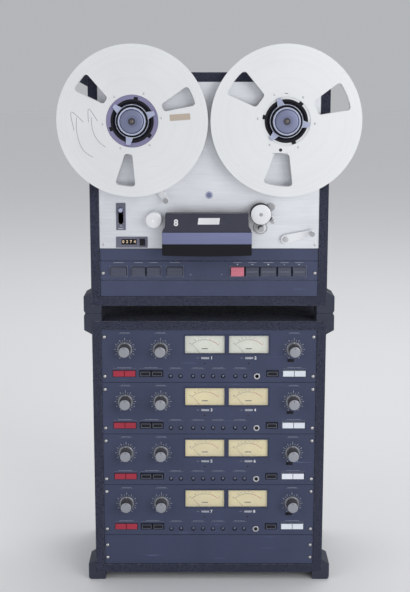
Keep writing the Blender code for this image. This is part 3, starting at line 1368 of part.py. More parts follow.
def amplifier_shape():
    """One amplifier for two channels, with the bottom edge of its panel at height nought."""
    bottom = EDGE_GAP
    top = MODULE_HEIGHT - EDGE_GAP
    window_width = (METER_RIGHT - METER_LEFT - 2 * METER_RIM - METER_POST) / 2
    window_low = METER_BOTTOM + METER_RIM
    window_high = METER_TOP - METER_RIM
    windows = []
    for left in (METER_LEFT + METER_RIM, METER_LEFT + METER_RIM + window_width + METER_POST):
        windows.append(rectangle(left, left + window_width, window_low, window_high))
    holes = []
    for x in KNOB_PLACES:
        holes.append(hole_points(KNOB_SHAFT_RADIUS + RUN_GAP, HOLE_STEPS, x, KNOB_HEIGHT))
    for x in TRIM_HOLES:
        holes.append(ring_points(TRIM_HOLE_RADIUS, HOLE_STEPS, x, TRIM_HOLE_HEIGHT))
    holes.append(ring_points(JACK_RADIUS, SMALL_STEPS, *JACK_PLACE))
    for left, right, _ in BAYS:
        holes.append(rectangle(left, right, BAY_BOTTOM, BAY_TOP))
    panel = punched(-PANEL_HALF, PANEL_HALF, PANEL_BACK, FACE, bottom, top, holes)

    fuse(panel, box(METER_LEFT, METER_RIGHT, FACE - EMBED, FACE + METER_RISE, METER_BOTTOM, METER_TOP))
    cut(panel, [plate([window], PANEL_BACK - OVERRUN, FACE + OVERRUN) for window in windows])
    behind = PANEL_BACK + EMBED
    dial = FACE - METER_DIAL_DEPTH
    meters = box(METER_LEFT, METER_RIGHT, -METER_BODY_DEPTH, behind, METER_BOTTOM, METER_TOP)
    wells = []
    for window in windows:
        (left, low), (right, high) = window[0], window[2]
        wells.append(
            box(left - RUN_GAP, right + RUN_GAP, dial, behind + OVERRUN, low - RUN_GAP, high + RUN_GAP)
        )
    cut(meters, wells)
    fuse(panel, meters)

    banks = []
    for left, right, count in BAYS:
        bank = box(
            left - BANK_MARGIN,
            right + BANK_MARGIN,
            PANEL_BACK - BANK_DEPTH,
            behind,
            BAY_BOTTOM - BANK_MARGIN,
            BAY_TOP + BANK_MARGIN,
        )
        span = (right - left - 2 * BAY_MARGIN - (count - 1) * BUTTON_SPACE) / count
        caps = []
        for number in range(count):
            cap_left = left + BAY_MARGIN + number * (span + BUTTON_SPACE)
            caps.append(
                box(
                    cap_left,
                    cap_left + span,
                    PANEL_BACK - 2 * EMBED,
                    FACE + BUTTON_REACH,
                    BAY_BOTTOM + BAY_MARGIN,
                    BAY_TOP - BAY_MARGIN,
                )
            )
        fuse_apart(bank, caps)
        banks.append(bank)
    fuse_apart(panel, banks)

    tray_half = PANEL_HALF - TRAY_SIDE_INSET
    tray_back = -CASE_DEPTH + TRAY_BACK_ROOM
    tray = box(-tray_half, tray_half, tray_back, behind, TRAY_BOTTOM, TRAY_BOTTOM + TRAY_HEIGHT)
    inside = box(
        -tray_half + TRAY_SHEET,
        tray_half - TRAY_SHEET,
        tray_back + TRAY_SHEET,
        behind + OVERRUN,
        TRAY_BOTTOM + TRAY_SHEET,
        TRAY_BOTTOM + TRAY_HEIGHT + OVERRUN,
    )
    cut(tray, [inside])
    reach = (tray_back - SOCKET_REACH, tray_back + EMBED)
    sockets = [rod(x, SOCKET_HEIGHT, SOCKET_RADIUS, *reach) for x in SOCKET_PLACES]
    sockets.append(box(CONNECTOR_LEFT, CONNECTOR_RIGHT, *reach, CONNECTOR_BOTTOM, CONNECTOR_TOP))
    fuse_apart(tray, sockets)
    fuse(panel, tray)
    return solid_mesh(panel)


def knob_shape():
    """A control knob: a skirt, a dark body and a cap, on a shaft that enters the panel."""
    foot = FACE + RUN_GAP
    profile = [
        (0.0, KNOB_REACH),
        (KNOB_CAP_RADIUS, KNOB_REACH),
        (KNOB_RADIUS, foot + KNOB_SKIRT_HEIGHT),
        (KNOB_SKIRT_RADIUS, foot + KNOB_CAP_EDGE),
        (KNOB_SKIRT_RADIUS, foot),
        (KNOB_SHAFT_RADIUS, foot),
        (KNOB_SHAFT_RADIUS, foot - KNOB_SHAFT_LENGTH),
        (0.0, foot - KNOB_SHAFT_LENGTH),
    ]
    return solid_mesh(turned(0.0, 0.0, profile, SMALL_STEPS))


def rack():
    """The amplifiers, the knobs and the blank panel in the lower cabinet."""
    inner_top = RACK_TOP - BOARD
    shape = amplifier_shape()
    knob = knob_shape()
    for module in range(MODULE_COUNT):
        bottom = inner_top - (module + 1) * MODULE_HEIGHT
        amplifier = bpy.data.objects.new("amplifier", shape.data)
        amplifier.matrix_world = Matrix.Translation((0.0, 0.0, bottom)) @ shape.matrix_world
        piece(amplifier, "amplifier_{}".format(module + 1), "panel_paint")
        names = (
            "record_level_knob_{}".format(2 * module + 1),
            "record_level_knob_{}".format(2 * module + 2),
            "output_level_knob_{}".format(module + 1),
        )
        for name, x in zip(names, KNOB_PLACES):
            turning = bpy.data.objects.new("knob", knob.data)
            turning.matrix_world = FRONT_VIEW
            turning.location = (x, FRONT_Y, bottom + KNOB_HEIGHT)
            piece(turning, name, "knob_silver")
    for spare in (shape, knob):
        bpy.data.objects.remove(spare, do_unlink=True)
    flat_panel("blank_panel", RACK_INNER_BOTTOM, RACK_INNER_BOTTOM + BLANK_HEIGHT)


def build():
    cabinet("rack_case", RACK_BOTTOM, RACK_TOP)
    cabinet("transport_case", TRANSPORT_BOTTOM, TRANSPORT_TOP)
    flat_panel("lower_panel", LOWER_PANEL_BOTTOM, KEY_PANEL_BOTTOM)
    key_panel()
    keys()
    deck_plate()
    chassis()
    reel("left", -REEL_X, LEFT_LUG_ANGLE, NARROW_WINDOW_INNER, NARROW_WINDOW_OUTER, True)
    reel("right", REEL_X, RIGHT_LUG_ANGLE, WIDE_WINDOW_INNER, WIDE_WINDOW_OUTER, False)
    guide_roller()
    capstan_and_motor()
    tension_arm("left_tension_arm", LEFT_ARM_PIVOT, LEFT_ARM_PIN)
    tension_arm("right_tension_arm", RIGHT_ARM_PIVOT, RIGHT_ARM_PIN)
    pinch_roller_and_arm()
    head_assembly()
    cue_lever()
    counter()
    back_cover()
    rack()


build()
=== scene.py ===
"""Looks of a two-cabinet reel-to-reel tape recorder, laid out as an add-on and run as a script.

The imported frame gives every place. Depths called proud are measured towards the viewer from the front edge
of the cabinets, so a point that is proud by p lies at Y = FRONT - p.
"""

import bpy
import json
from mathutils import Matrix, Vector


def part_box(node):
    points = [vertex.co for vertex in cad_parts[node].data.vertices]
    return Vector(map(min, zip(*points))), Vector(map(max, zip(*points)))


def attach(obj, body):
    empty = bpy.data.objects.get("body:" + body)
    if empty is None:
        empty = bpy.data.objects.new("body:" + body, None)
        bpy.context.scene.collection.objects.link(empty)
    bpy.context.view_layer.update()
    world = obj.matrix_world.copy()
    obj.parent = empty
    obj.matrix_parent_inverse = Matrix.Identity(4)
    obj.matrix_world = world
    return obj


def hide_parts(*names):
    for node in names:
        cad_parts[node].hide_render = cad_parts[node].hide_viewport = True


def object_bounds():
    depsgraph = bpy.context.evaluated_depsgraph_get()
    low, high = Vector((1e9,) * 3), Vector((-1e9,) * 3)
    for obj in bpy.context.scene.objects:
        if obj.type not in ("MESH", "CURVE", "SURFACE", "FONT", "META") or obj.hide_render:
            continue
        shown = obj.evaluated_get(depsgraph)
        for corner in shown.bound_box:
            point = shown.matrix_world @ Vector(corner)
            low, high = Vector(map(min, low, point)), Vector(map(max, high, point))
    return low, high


bl_info = {
    "name": "Tape Recorder Looks",
    "version": (1, 0, 0),
    "blender": (4, 5, 0),
    "location": "View3D > Sidebar > Recorder",
    "description": "Builds the finished surfaces of an eight-channel tape recorder around its frame",
    "category": "Object",
}

import json
import math
import random

import bmesh
import bpy
from bpy.props import FloatProperty, FloatVectorProperty, IntProperty, PointerProperty
from mathutils import Matrix, Vector

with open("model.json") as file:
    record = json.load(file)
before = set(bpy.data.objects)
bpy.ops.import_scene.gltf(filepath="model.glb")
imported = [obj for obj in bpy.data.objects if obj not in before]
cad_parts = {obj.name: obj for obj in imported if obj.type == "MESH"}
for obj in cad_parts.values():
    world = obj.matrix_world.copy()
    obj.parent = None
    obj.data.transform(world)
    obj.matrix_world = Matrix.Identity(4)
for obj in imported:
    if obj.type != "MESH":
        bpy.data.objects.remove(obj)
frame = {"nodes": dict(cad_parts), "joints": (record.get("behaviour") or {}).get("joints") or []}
CAD_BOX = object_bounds()
NODES = frame["nodes"]

# Places that the frame gives
RACK_LOW, RACK_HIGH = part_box("rack_case")
PANEL_LOW, PANEL_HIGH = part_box("lower_panel")
DECK_LOW, DECK_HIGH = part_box("deck_plate")
FRONT = RACK_LOW.y
FACE = FRONT - PANEL_LOW.y
MODULE_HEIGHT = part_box("amplifier_1")[0].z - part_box("amplifier_2")[0].z
PANEL_GAP = (MODULE_HEIGHT - (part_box("amplifier_1")[1].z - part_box("amplifier_1")[0].z)) / 2
DECK_BOTTOM = DECK_LOW.z - PANEL_GAP
MODULES = (1, 2, 3, 4)
KEYS = (
    "power_key",
    "low_speed_key",
    "high_speed_key",
    "cue_key",
    "record_key",
    "rewind_key",
    "stop_key",
    "play_key",
    "forward_key",
)
BLOCK_PROUD = 0.0145

# Places in the front view, in metres. Heights on the deck are above DECK_BOTTOM, those on an amplifier above
# the bottom of its own space.
PANEL_SCREW_X = 0.1936
BLANK_SCREW_ROWS = (0.0128, 0.0378)
MODULE_SCREW_ROWS = (0.0116, 0.0864)
KEY_SCREW_Z = 0.0124
KEY_MARK_RISE = 0.0045
RIDGED_KEYS = ("rewind_key", "stop_key", "play_key", "forward_key")
KEY_SYMBOLS = (
    ("record_key", "dot"),
    ("rewind_key", "rewind"),
    ("stop_key", "square"),
    ("play_key", "play"),
    ("forward_key", "forward"),
)
DECK_SCREW_INSET = 0.0065
BADGE = (-0.0001, 0.0975)
BADGE_RADIUS = 0.0068
CUE_X = -0.1600
CUE_SLOT_TOP = 0.0763
CUE_SLOT_LENGTH = 0.0318
CUE_SLOT_WIDTH = 0.0094
CUE_FRAME = (0.0339, 0.0834)
CUE_FRAME_WIDTH = 0.0172
CUE_FRAME_RISE = 0.0012
POST = (0.1134, 0.0530)
CAPSTAN = (0.0931, 0.0391)
BAND_BOTTOM = 0.0150
ARM_PINS = {"left": (-0.0778, 0.0897), "right": (0.1850, 0.0301)}
COUNTER_WINDOW = (-0.1596, -0.1318, 0.0075, 0.0176)
COUNTER_FLOOR = FACE - 0.0005

REEL_RADIUS = 0.13335
REEL_BORE = 0.0381
RING_RADIUS = 0.0460
HUB_RADIUS = 0.0571
HUB_WIDTH = 0.0138
NOTCH_WIDTH = 0.0076
NOTCH_DEPTH = 0.0045
WINDOW_INNER = 0.0585
WINDOW_OUTER = 0.1150
WINDOW_ROUND = 0.0055
WINDOW_ANGLE = 23.0
NARROW_WINDOW = (0.0135, 0.0370)
WIDE_WINDOW = (0.0260, 0.0530)
FIRST_KEY = {"left": 80.0, "right": 170.0}
LUG_TO_KEY = 60.0
RIVETS = {"left": (6, 0.0520, 66.0), "right": (6, 0.0505, 55.0)}
# Hand-drawn marks on the left reel and small marks on the right one, from the reel's centre
PEN_STROKES = (
    ((-0.0975, 0.0061), (-0.0982, -0.0125), (-0.0946, -0.0339), (-0.0857, -0.0518), (-0.0703, -0.0632)),
    ((-0.1025, -0.0161), (-0.1071, 0.0161), (-0.0857, -0.0018)),
    ((-0.0721, 0.0071), (-0.0696, -0.0161), (-0.0607, -0.0339), (-0.0475, -0.0457)),
    ((-0.0768, -0.0018), (-0.0760, 0.0214), (-0.0607, 0.0000)),
)
LABEL_PLACE = (0.0840, 0.0070)
LABEL_SIZE = (0.0360, 0.0110)
HOLE_PLACE = (-0.0096, -0.0504)
SLIT = (-0.0240, 0.0035, -0.0565, -0.0558)

METERS = (-0.0469, 0.1127, 0.0530, 0.0913)
METER_WINDOWS = ((-0.0444, 0.02875), (0.03705, 0.1102))
METER_WINDOW_ROWS = (0.0555, 0.0888)
METER_CENTRES = (-0.0081, 0.0733)
DIAL_DROP = 0.0105
DIAL_RADIUS = 0.0352
DIAL_HALF = 45.0
BAY_ROWS = (0.0105, 0.0234)
BAY_COLOURS = ((-0.1790, -0.1358, 2), (-0.1296, -0.0853, 3), (0.1066, 0.1293, 3), (0.1367, 0.1804, 4))
BAY_FINISHES = {2: "red", 3: "black", 4: "white"}
TRIM_Z = 0.0119
TRIMS = (-0.0716, -0.0530, -0.0298, -0.0112, 0.0077, 0.0263, 0.0490, 0.0670)
JACK = (0.0891, 0.0119)
LAMPS = (-0.0081, 0.0733)
LAMP_Z = 0.0363
SWITCH = (0.1454, 0.1578, 0.0390, 0.0447)
BRACKETS = (
    (-0.0760, -0.0486, 0.0257),
    (-0.0342, -0.0068, 0.0257),
    (0.0033, 0.0307, 0.0257),
    (0.0446, 0.0714, 0.0257),
    (-0.1790, -0.1358, 0.0262),
    (-0.1296, -0.0853, 0.0262),
    (0.1367, 0.1804, 0.0262),
    (-0.1680, -0.1440, 0.0925),
    (-0.1020, -0.0780, 0.0925),
    (0.1455, 0.1695, 0.0925),
)
KNOB_XS = (-0.1560, -0.0900, 0.1575)
KNOB_Z = 0.0632
KNOB_REACH = 0.0240
# Turns the front view into the world: local X stays, local Y becomes up and local Z comes towards the viewer
FRONT_VIEW = Matrix.Rotation(math.radians(90.0), 4, "X")
RECORDER_MIDDLE = (CAD_BOX[0][2] + CAD_BOX[1][2]) / 2
WELD = 0.00001
HAIR = 0.00015
PRINT_RISE = 0.00008
RIM_WIDTH = 0.0009
CUP_WIDTH = 0.0011
FACET_ANGLE = math.radians(30.0)
EDGE_ANGLE = math.radians(50.0)
SHARP_ANGLE = math.radians(40.0)
FINE_STEPS = 96
MID_STEPS = 48
SMALL_STEPS = 24


def middle(node):
    """Centre of a node's box."""
    low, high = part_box(node)
    return (low + high) / 2


def turn_points(radius, count, start=0.0, sweep=360.0):
    """Points on a circle in the front view, counter-clockwise from start degrees."""
    step = math.radians(sweep) / count
    first = math.radians(start)
    return [(radius * math.cos(first + i * step), radius * math.sin(first + i * step)) for i in range(count)]


def polar(radius, degrees):
    angle = math.radians(degrees)
    return (radius * math.cos(angle), radius * math.sin(angle))


def rounded(corners, radii, steps=6):
    """Rounds the corners of an outline. A corner whose radius is zero stays sharp."""
    points = []
    count = len(corners)
    for i, corner in enumerate(corners):
        if not radii[i]:
            points.append(corner)
            continue
        here = Vector(corner)
        before = (Vector(corners[i - 1]) - here).normalized()
        after = (Vector(corners[(i + 1) % count]) - here).normalized()
        half = before.angle(after) / 2
        centre = here + (before + after).normalized() * (radii[i] / math.sin(half))
        first = here + before * (radii[i] / math.tan(half)) - centre
        last = here + after * (radii[i] / math.tan(half)) - centre
        turn = first.angle_signed(last)
        for step in range(steps + 1):
            spoke = first.copy()
            spoke.rotate(Matrix.Rotation(-turn * step / steps, 2))
            points.append(tuple(centre + spoke))
    return points


def rectangle(x0, x1, z0, z1, radius=0.0):
    return rounded([(x0, z0), (x1, z0), (x1, z1), (x0, z1)], [radius] * 4)


# Mesh tools


def link(name, data):
    made = bpy.data.objects.new(name, data)
    bpy.context.scene.collection.objects.link(made)
    return made


def from_bmesh(name, shape):
    mesh = bpy.data.meshes.new(name)
    shape.to_mesh(mesh)
    shape.free()
    return link(name, mesh)


def settled(obj):
    """Applies an object's modifiers or its curve and its place, so that the mesh holds everything."""
    bpy.context.view_layer.update()
    evaluated = obj.evaluated_get(bpy.context.evaluated_depsgraph_get())
    mesh = bpy.data.meshes.new_from_object(evaluated)
    mesh.transform(obj.matrix_world)
    name = obj.name
    bpy.data.objects.remove(obj, do_unlink=True)
    mesh.name = name
    return link(name, mesh)


def tidy(obj, weld=WELD):
    """Merges doubled points, clears split normals and turns the faces outwards."""
    shape = bmesh.new()
    shape.from_mesh(obj.data)
    bmesh.ops.remove_doubles(shape, verts=shape.verts, dist=weld)
    bmesh.ops.recalc_face_normals(shape, faces=shape.faces)
    shape.to_mesh(obj.data)
    shape.free()
    return obj


def bevelled(obj, width, segments=2, angle=FACET_ANGLE):
    """Rounds the sharp edges of a mesh."""
    step = obj.modifiers.new("edge", "BEVEL")
    step.width = width
    step.segments = segments
    step.limit_method = "ANGLE"
    step.angle_limit = angle
    step.harden_normals = False
    return settled(obj)


def block(name, x0, x1, back, front, z0, z1, edge=0.0, segments=2):
    """A box between two X values, two proud depths and two heights, with rounded edges."""
    shape = bmesh.new()
    bmesh.ops.create_cube(shape, size=1.0)
    bmesh.ops.scale(shape, vec=Vector((x1 - x0, front - back, z1 - z0)), verts=shape.verts)
    place = Vector(((x0 + x1) / 2, FRONT - (back + front) / 2, (z0 + z1) / 2))
    bmesh.ops.translate(shape, vec=place, verts=shape.verts)
    made = from_bmesh(name, shape)
    return bevelled(made, edge, segments) if edge else made


def turned(name, x, z, profile, steps=MID_STEPS):
    """A turned solid whose axis points at the viewer. The profile is (radius, proud), from front to back."""
    mesh = bpy.data.meshes.new(name)
    points = [(radius, 0.0, proud) for radius, proud in profile]
    edges = [(i, i + 1) for i in range(len(points) - 1)]
    if profile[0][0] > 0.0:
        edges.append((len(points) - 1, 0))
    mesh.from_pydata(points, edges, [])
    made = link(name, mesh)
    screw = made.modifiers.new("turn", "SCREW")
    screw.axis = "Z"
    screw.steps = steps
    screw.render_steps = steps
    screw.use_merge_vertices = True
    screw.merge_threshold = WELD
    made.matrix_world = Matrix.Translation((x, FRONT, z)) @ FRONT_VIEW
    return tidy(settled(made))


def plate(name, outlines, back, front, x=0.0, z=0.0, edge=0.0):
    """A flat plate that faces the viewer: an outline and its holes, with rounded rims."""
    curve = bpy.data.curves.new(name, "CURVE")
    curve.dimensions = "2D"
    curve.fill_mode = "BOTH"
    curve.extrude = (front - back) / 2
    for points in outlines:
        spline = curve.splines.new("POLY")
        spline.points.add(len(points) - 1)
        for point, (px, pz) in zip(spline.points, points):
            point.co = (px, pz, 0.0, 1.0)
        spline.use_cyclic_u = True
    made = link(name, curve)
    made.matrix_world = Matrix.Translation((x, FRONT - (back + front) / 2, z)) @ FRONT_VIEW
    made = tidy(settled(made))
    flatten(made)
    return bevelled(made, edge) if edge else made


def flatten(obj):
    """Joins the triangles of flat areas into whole faces, so that a bevel runs clean round their rim."""
    shape = bmesh.new()
    shape.from_mesh(obj.data)
    bmesh.ops.dissolve_limit(
        shape, angle_limit=math.radians(0.5), verts=shape.verts, edges=shape.edges, delimit={"NORMAL"}
    )
    shape.to_mesh(obj.data)
    shape.free()
    return obj


def copy_of(node, name, edge, segments=2, angle=EDGE_ANGLE):
    """A copy of a frame node with its doubled points merged and its edges rounded."""
    made = link(name, NODES[node].data.copy())
    made.data.materials.clear()
    for layer in ("custom_normal", "sharp_face", "sharp_edge"):
        found = made.data.attributes.get(layer)
        if found:
            made.data.attributes.remove(found)
    flatten(tidy(made))
    return bevelled(made, edge, segments, angle) if edge else made


def joined(name, objects):
    """One object out of several that have their places in their meshes. Their materials stay."""
    shape = bmesh.new()
    slots = []
    for obj in objects:
        first = len(shape.faces)
        shape.from_mesh(obj.data)
        shape.faces.ensure_lookup_table()
        own = list(obj.data.materials)
        for material in own:
            if material not in slots:
                slots.append(material)
        for face in shape.faces[first:]:
            if own:
                face.material_index = slots.index(own[face.material_index])
        bpy.data.objects.remove(obj, do_unlink=True)
    made = from_bmesh(name, shape)
    for material in slots:
        made.data.materials.append(material)
    return made


def mark_edges(mesh):
    """Marks the narrow faces along rounded edges, which the wear in the materials and the painted rim shade on the
    enamels follow.
    """
    rim = mesh.attributes.new("rim", "FLOAT", "FACE")
    for face, mark in zip(mesh.polygons, rim.data):
        corners = [mesh.vertices[i].co for i in face.vertices]
        longest = max((a - b).length for a, b in zip(corners, corners[1:] + corners[:1]))
        mark.value = 1.0 if face.area < RIM_WIDTH * longest else 0.0


def paint(obj, *materials):
    """Gives an object its materials."""
    obj.data.materials.clear()
    for material in materials:
        obj.data.materials.append(material)
    return obj


def fit(obj, body, stands_for=(), rim=False, about=None):
    """Hands a finished mesh to the frame: shaded, riding on its body and standing for the nodes it covers."""
    if rim:
        mark_edges(obj.data)
    if about:
        away = obj.data.attributes.new("around", "FLOAT_VECTOR", "POINT")
        for vert, value in zip(obj.data.vertices, away.data):
            value.vector = vert.co - Vector((about[0], 0.0, about[1]))
    obj.data.shade_smooth()
    obj.data.set_sharp_from_angle(angle=SHARP_ANGLE)
    step = obj.modifiers.new("normals", "WEIGHTED_NORMAL")
    step.keep_sharp = True
    made = settled(obj)
    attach(made, body)
    if stands_for:
        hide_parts(*stands_for)
    return made


# Geometry Nodes trees


def add_node(tree, kind, links=None, **settings):
    """Adds a node. Settings are its attributes, and links give an input a value or another node's output."""
    node = tree.nodes.new(kind)
    for name, value in settings.items():
        setattr(node, name, value)
    for key, value in (links or {}).items():
        if isinstance(value, bpy.types.NodeSocket):
            tree.links.new(value, node.inputs[key])
        else:
            node.inputs[key].default_value = value
    return node


def new_tree(name, inputs):
    """A Geometry Nodes tree with the given inputs. Returns the tree, its input node and its output node."""
    tree = bpy.data.node_groups.new(name, "GeometryNodeTree")
    for label, kind in inputs:
        tree.interface.new_socket(name=label, in_out="INPUT", socket_type=kind)
    tree.interface.new_socket(name="Geometry", in_out="OUTPUT", socket_type="NodeSocketGeometry")
    return tree, tree.nodes.new("NodeGroupInput"), tree.nodes.new("NodeGroupOutput")


def close_tree(tree, output, instances, material):
    """Ends a tree in real geometry with its material set."""
    real = add_node(tree, "GeometryNodeRealizeInstances", {"Geometry": instances})
    done = add_node(tree, "GeometryNodeSetMaterial", {"Geometry": real.outputs[0], "Material": material})
    tree.links.new(done.outputs[0], output.inputs[0])
    return tree


def circle_tree():
    """Copies of a piece round a circle in the front view, each turned to face outwards."""
    tree, given, output = new_tree(
        "copies_round_a_circle",
        [
            ("Piece", "NodeSocketObject"),
            ("Count", "NodeSocketInt"),
            ("Radius", "NodeSocketFloat"),
            ("Start", "NodeSocketFloat"),
            ("Step", "NodeSocketFloat"),
            ("Centre", "NodeSocketVector"),
            ("Material", "NodeSocketMaterial"),
        ],
    )
    points = add_node(tree, "GeometryNodePoints", {"Count": given.outputs["Count"]})
    index = add_node(tree, "GeometryNodeInputIndex")
    angle = add_node(
        tree,
        "ShaderNodeMath",
        {0: index.outputs[0], 1: given.outputs["Step"], 2: given.outputs["Start"]},
        operation="MULTIPLY_ADD",
    )
    cosine = add_node(tree, "ShaderNodeMath", {0: angle.outputs[0]}, operation="COSINE")
    sine = add_node(tree, "ShaderNodeMath", {0: angle.outputs[0]}, operation="SINE")
    spoke = add_node(tree, "ShaderNodeCombineXYZ", {"X": cosine.outputs[0], "Z": sine.outputs[0]})
    place = add_node(
        tree,
        "ShaderNodeVectorMath",
        {0: spoke.outputs[0], "Scale": given.outputs["Radius"]},
        operation="SCALE",
    )
    moved = add_node(
        tree,
        "ShaderNodeVectorMath",
        {0: place.outputs[0], 1: given.outputs["Centre"]},
        operation="ADD",
    )
    set_place = add_node(
        tree, "GeometryNodeSetPosition", {"Geometry": points.outputs[0], "Position": moved.outputs[0]}
    )
    back = add_node(tree, "ShaderNodeMath", {0: angle.outputs[0], 1: -1.0}, operation="MULTIPLY")
    turn = add_node(tree, "ShaderNodeCombineXYZ", {"Y": back.outputs[0]})
    piece = add_node(tree, "GeometryNodeObjectInfo", {"Object": given.outputs["Piece"]})
    copies = add_node(
        tree,
        "GeometryNodeInstanceOnPoints",
        {
            "Points": set_place.outputs[0],
            "Instance": piece.outputs["Geometry"],
            "Rotation": turn.outputs[0],
        },
    )
    return close_tree(tree, output, copies.outputs[0], given.outputs["Material"])


def places_tree():
    """Copies of a piece on every point of a mesh, each turned about its axis by a seeded random angle."""
    tree, given, output = new_tree(
        "copies_on_places",
        [
            ("Geometry", "NodeSocketGeometry"),
            ("Piece", "NodeSocketObject"),
            ("Turn", "NodeSocketFloat"),
            ("Seed", "NodeSocketInt"),
            ("Material", "NodeSocketMaterial"),
        ],
    )
    points = add_node(tree, "GeometryNodeMeshToPoints", {"Mesh": given.outputs["Geometry"]})
    random = add_node(
        tree,
        "FunctionNodeRandomValue",
        {3: given.outputs["Turn"], "Seed": given.outputs["Seed"]},
        data_type="FLOAT",
    )
    turn = add_node(tree, "ShaderNodeCombineXYZ", {"Y": random.outputs[1]})
    piece = add_node(tree, "GeometryNodeObjectInfo", {"Object": given.outputs["Piece"]})
    copies = add_node(
        tree,
        "GeometryNodeInstanceOnPoints",
        {"Points": points.outputs[0], "Instance": piece.outputs["Geometry"], "Rotation": turn.outputs[0]},
    )
    return close_tree(tree, output, copies.outputs[0], given.outputs["Material"])


def fluted_tree():
    """A bar along the view whose outline is a circle with evenly spaced rounded flutes, tapering to its front."""
    tree, given, output = new_tree(
        "fluted_bar",
        [
            ("Radius", "NodeSocketFloat"),
            ("Flutes", "NodeSocketInt"),
            ("Flute Depth", "NodeSocketFloat"),
            ("Front Share", "NodeSocketFloat"),
            ("Length", "NodeSocketFloat"),
            ("Points", "NodeSocketInt"),
            ("Material", "NodeSocketMaterial"),
        ],
    )
    circle = add_node(
        tree,
        "GeometryNodeCurvePrimitiveCircle",
        {"Resolution": given.outputs["Points"], "Radius": given.outputs["Radius"]},
        mode="RADIUS",
    )
    where = add_node(tree, "GeometryNodeInputPosition")
    split = add_node(tree, "ShaderNodeSeparateXYZ", {0: where.outputs[0]})
    angle = add_node(
        tree, "ShaderNodeMath", {0: split.outputs["Y"], 1: split.outputs["X"]}, operation="ARCTAN2"
    )
    wave = add_node(
        tree, "ShaderNodeMath", {0: angle.outputs[0], 1: given.outputs["Flutes"]}, operation="MULTIPLY"
    )
    crest = add_node(tree, "ShaderNodeMath", {0: wave.outputs[0]}, operation="COSINE")
    depth = add_node(
        tree, "ShaderNodeMath", {0: given.outputs["Flute Depth"], 1: -0.5}, operation="MULTIPLY"
    )
    inward = add_node(
        tree,
        "ShaderNodeMath",
        {0: crest.outputs[0], 1: depth.outputs[0], 2: depth.outputs[0]},
        operation="MULTIPLY_ADD",
    )
    direction = add_node(tree, "ShaderNodeVectorMath", {0: where.outputs[0]}, operation="NORMALIZE")
    offset = add_node(
        tree,
        "ShaderNodeVectorMath",
        {0: direction.outputs[0], "Scale": inward.outputs[0]},
        operation="SCALE",
    )
    fluted = add_node(
        tree, "GeometryNodeSetPosition", {"Geometry": circle.outputs[0], "Offset": offset.outputs[0]}
    )
    end = add_node(tree, "ShaderNodeCombineXYZ", {"Z": given.outputs["Length"]})
    line = add_node(tree, "GeometryNodeCurvePrimitiveLine", {"End": end.outputs[0]}, mode="POINTS")
    along = add_node(tree, "GeometryNodeSplineParameter")
    taper = add_node(
        tree,
        "ShaderNodeMapRange",
        {"Value": along.outputs["Factor"], "To Min": 1.0, "To Max": given.outputs["Front Share"]},
    )
    sized = add_node(
        tree, "GeometryNodeSetCurveRadius", {"Curve": line.outputs[0], "Radius": taper.outputs[0]}
    )
    bar = add_node(
        tree,
        "GeometryNodeCurveToMesh",
        {
            "Curve": sized.outputs[0],
            "Profile Curve": fluted.outputs[0],
            "Fill Caps": True,
        },
    )
    if "Scale" in bar.inputs:
        tree.links.new(taper.outputs[0], bar.inputs["Scale"])
    return close_tree(tree, output, bar.outputs[0], given.outputs["Material"])


def grown(name, tree, values, mesh=None):
    """Runs a tree on a mesh with the given inputs, and returns what it makes as a plain mesh object."""
    holder = link(name + "_grown", mesh or bpy.data.meshes.new(name))
    step = holder.modifiers.new("grow", "NODES")
    step.node_group = tree
    for socket in tree.interface.items_tree:
        if socket.in_out == "INPUT" and socket.name in values:
            step[socket.identifier] = values[socket.name]
    made = settled(holder)
    made.name = name
    return made


def copies_at(name, piece, places, material, turn=0.0, seed=1):
    """Copies of a piece at the given places, as one mesh. The piece itself is removed."""
    mesh = bpy.data.meshes.new(name)
    mesh.from_pydata([tuple(place) for place in places], [], [])
    values = {"Piece": piece, "Turn": turn, "Seed": seed, "Material": material}
    made = grown(name, TREES["places"], values, mesh)
    bpy.data.objects.remove(piece, do_unlink=True)
    return made


def copies_round(name, piece, centre, radius, count, material, start=0.0, sweep=360.0):
    """Copies of a piece round a circle, as one mesh. The piece itself is removed."""
    gaps = count if sweep == 360.0 else count - 1
    values = {
        "Piece": piece,
        "Count": count,
        "Radius": radius,
        "Start": math.radians(start),
        "Step": math.radians(sweep) / gaps,
        "Centre": centre,
        "Material": material,
    }
    made = grown(name, TREES["circle"], values)
    bpy.data.objects.remove(piece, do_unlink=True)
    return made


TREES = {"places": places_tree(), "circle": circle_tree(), "fluted": fluted_tree()}


# Shader groups


def new_group(name, inputs, outputs):
    """A shader group whose sockets are all plain values. Returns the tree and its two end nodes."""
    tree = bpy.data.node_groups.new(name, "ShaderNodeTree")
    for label, default in inputs:
        socket = tree.interface.new_socket(name=label, in_out="INPUT", socket_type="NodeSocketFloat")
        socket.default_value = default
    for label in outputs:
        tree.interface.new_socket(name=label, in_out="OUTPUT", socket_type="NodeSocketFloat")
    return tree, tree.nodes.new("NodeGroupInput"), tree.nodes.new("NodeGroupOutput")


def mapped(tree, value, low, high, to_low=0.0, to_high=1.0):
    """A value stretched from one range to another, with its ends held."""
    node = add_node(
        tree,
        "ShaderNodeMapRange",
        {"Value": value, "From Min": low, "From Max": high, "To Min": to_low, "To Max": to_high},
    )
    return node.outputs[0]


def product(tree, a, b):
    return add_node(tree, "ShaderNodeMath", {0: a, 1: b}, operation="MULTIPLY").outputs[0]


def blended(tree, share, first, second):
    """Mixes two colours."""
    node = add_node(tree, "ShaderNodeMix", data_type="RGBA")
    for socket, value in zip((node.inputs[0], node.inputs[6], node.inputs[7]), (share, first, second)):
        if isinstance(value, bpy.types.NodeSocket):
            tree.links.new(value, socket)
        else:
            socket.default_value = value
    return node.outputs[2]


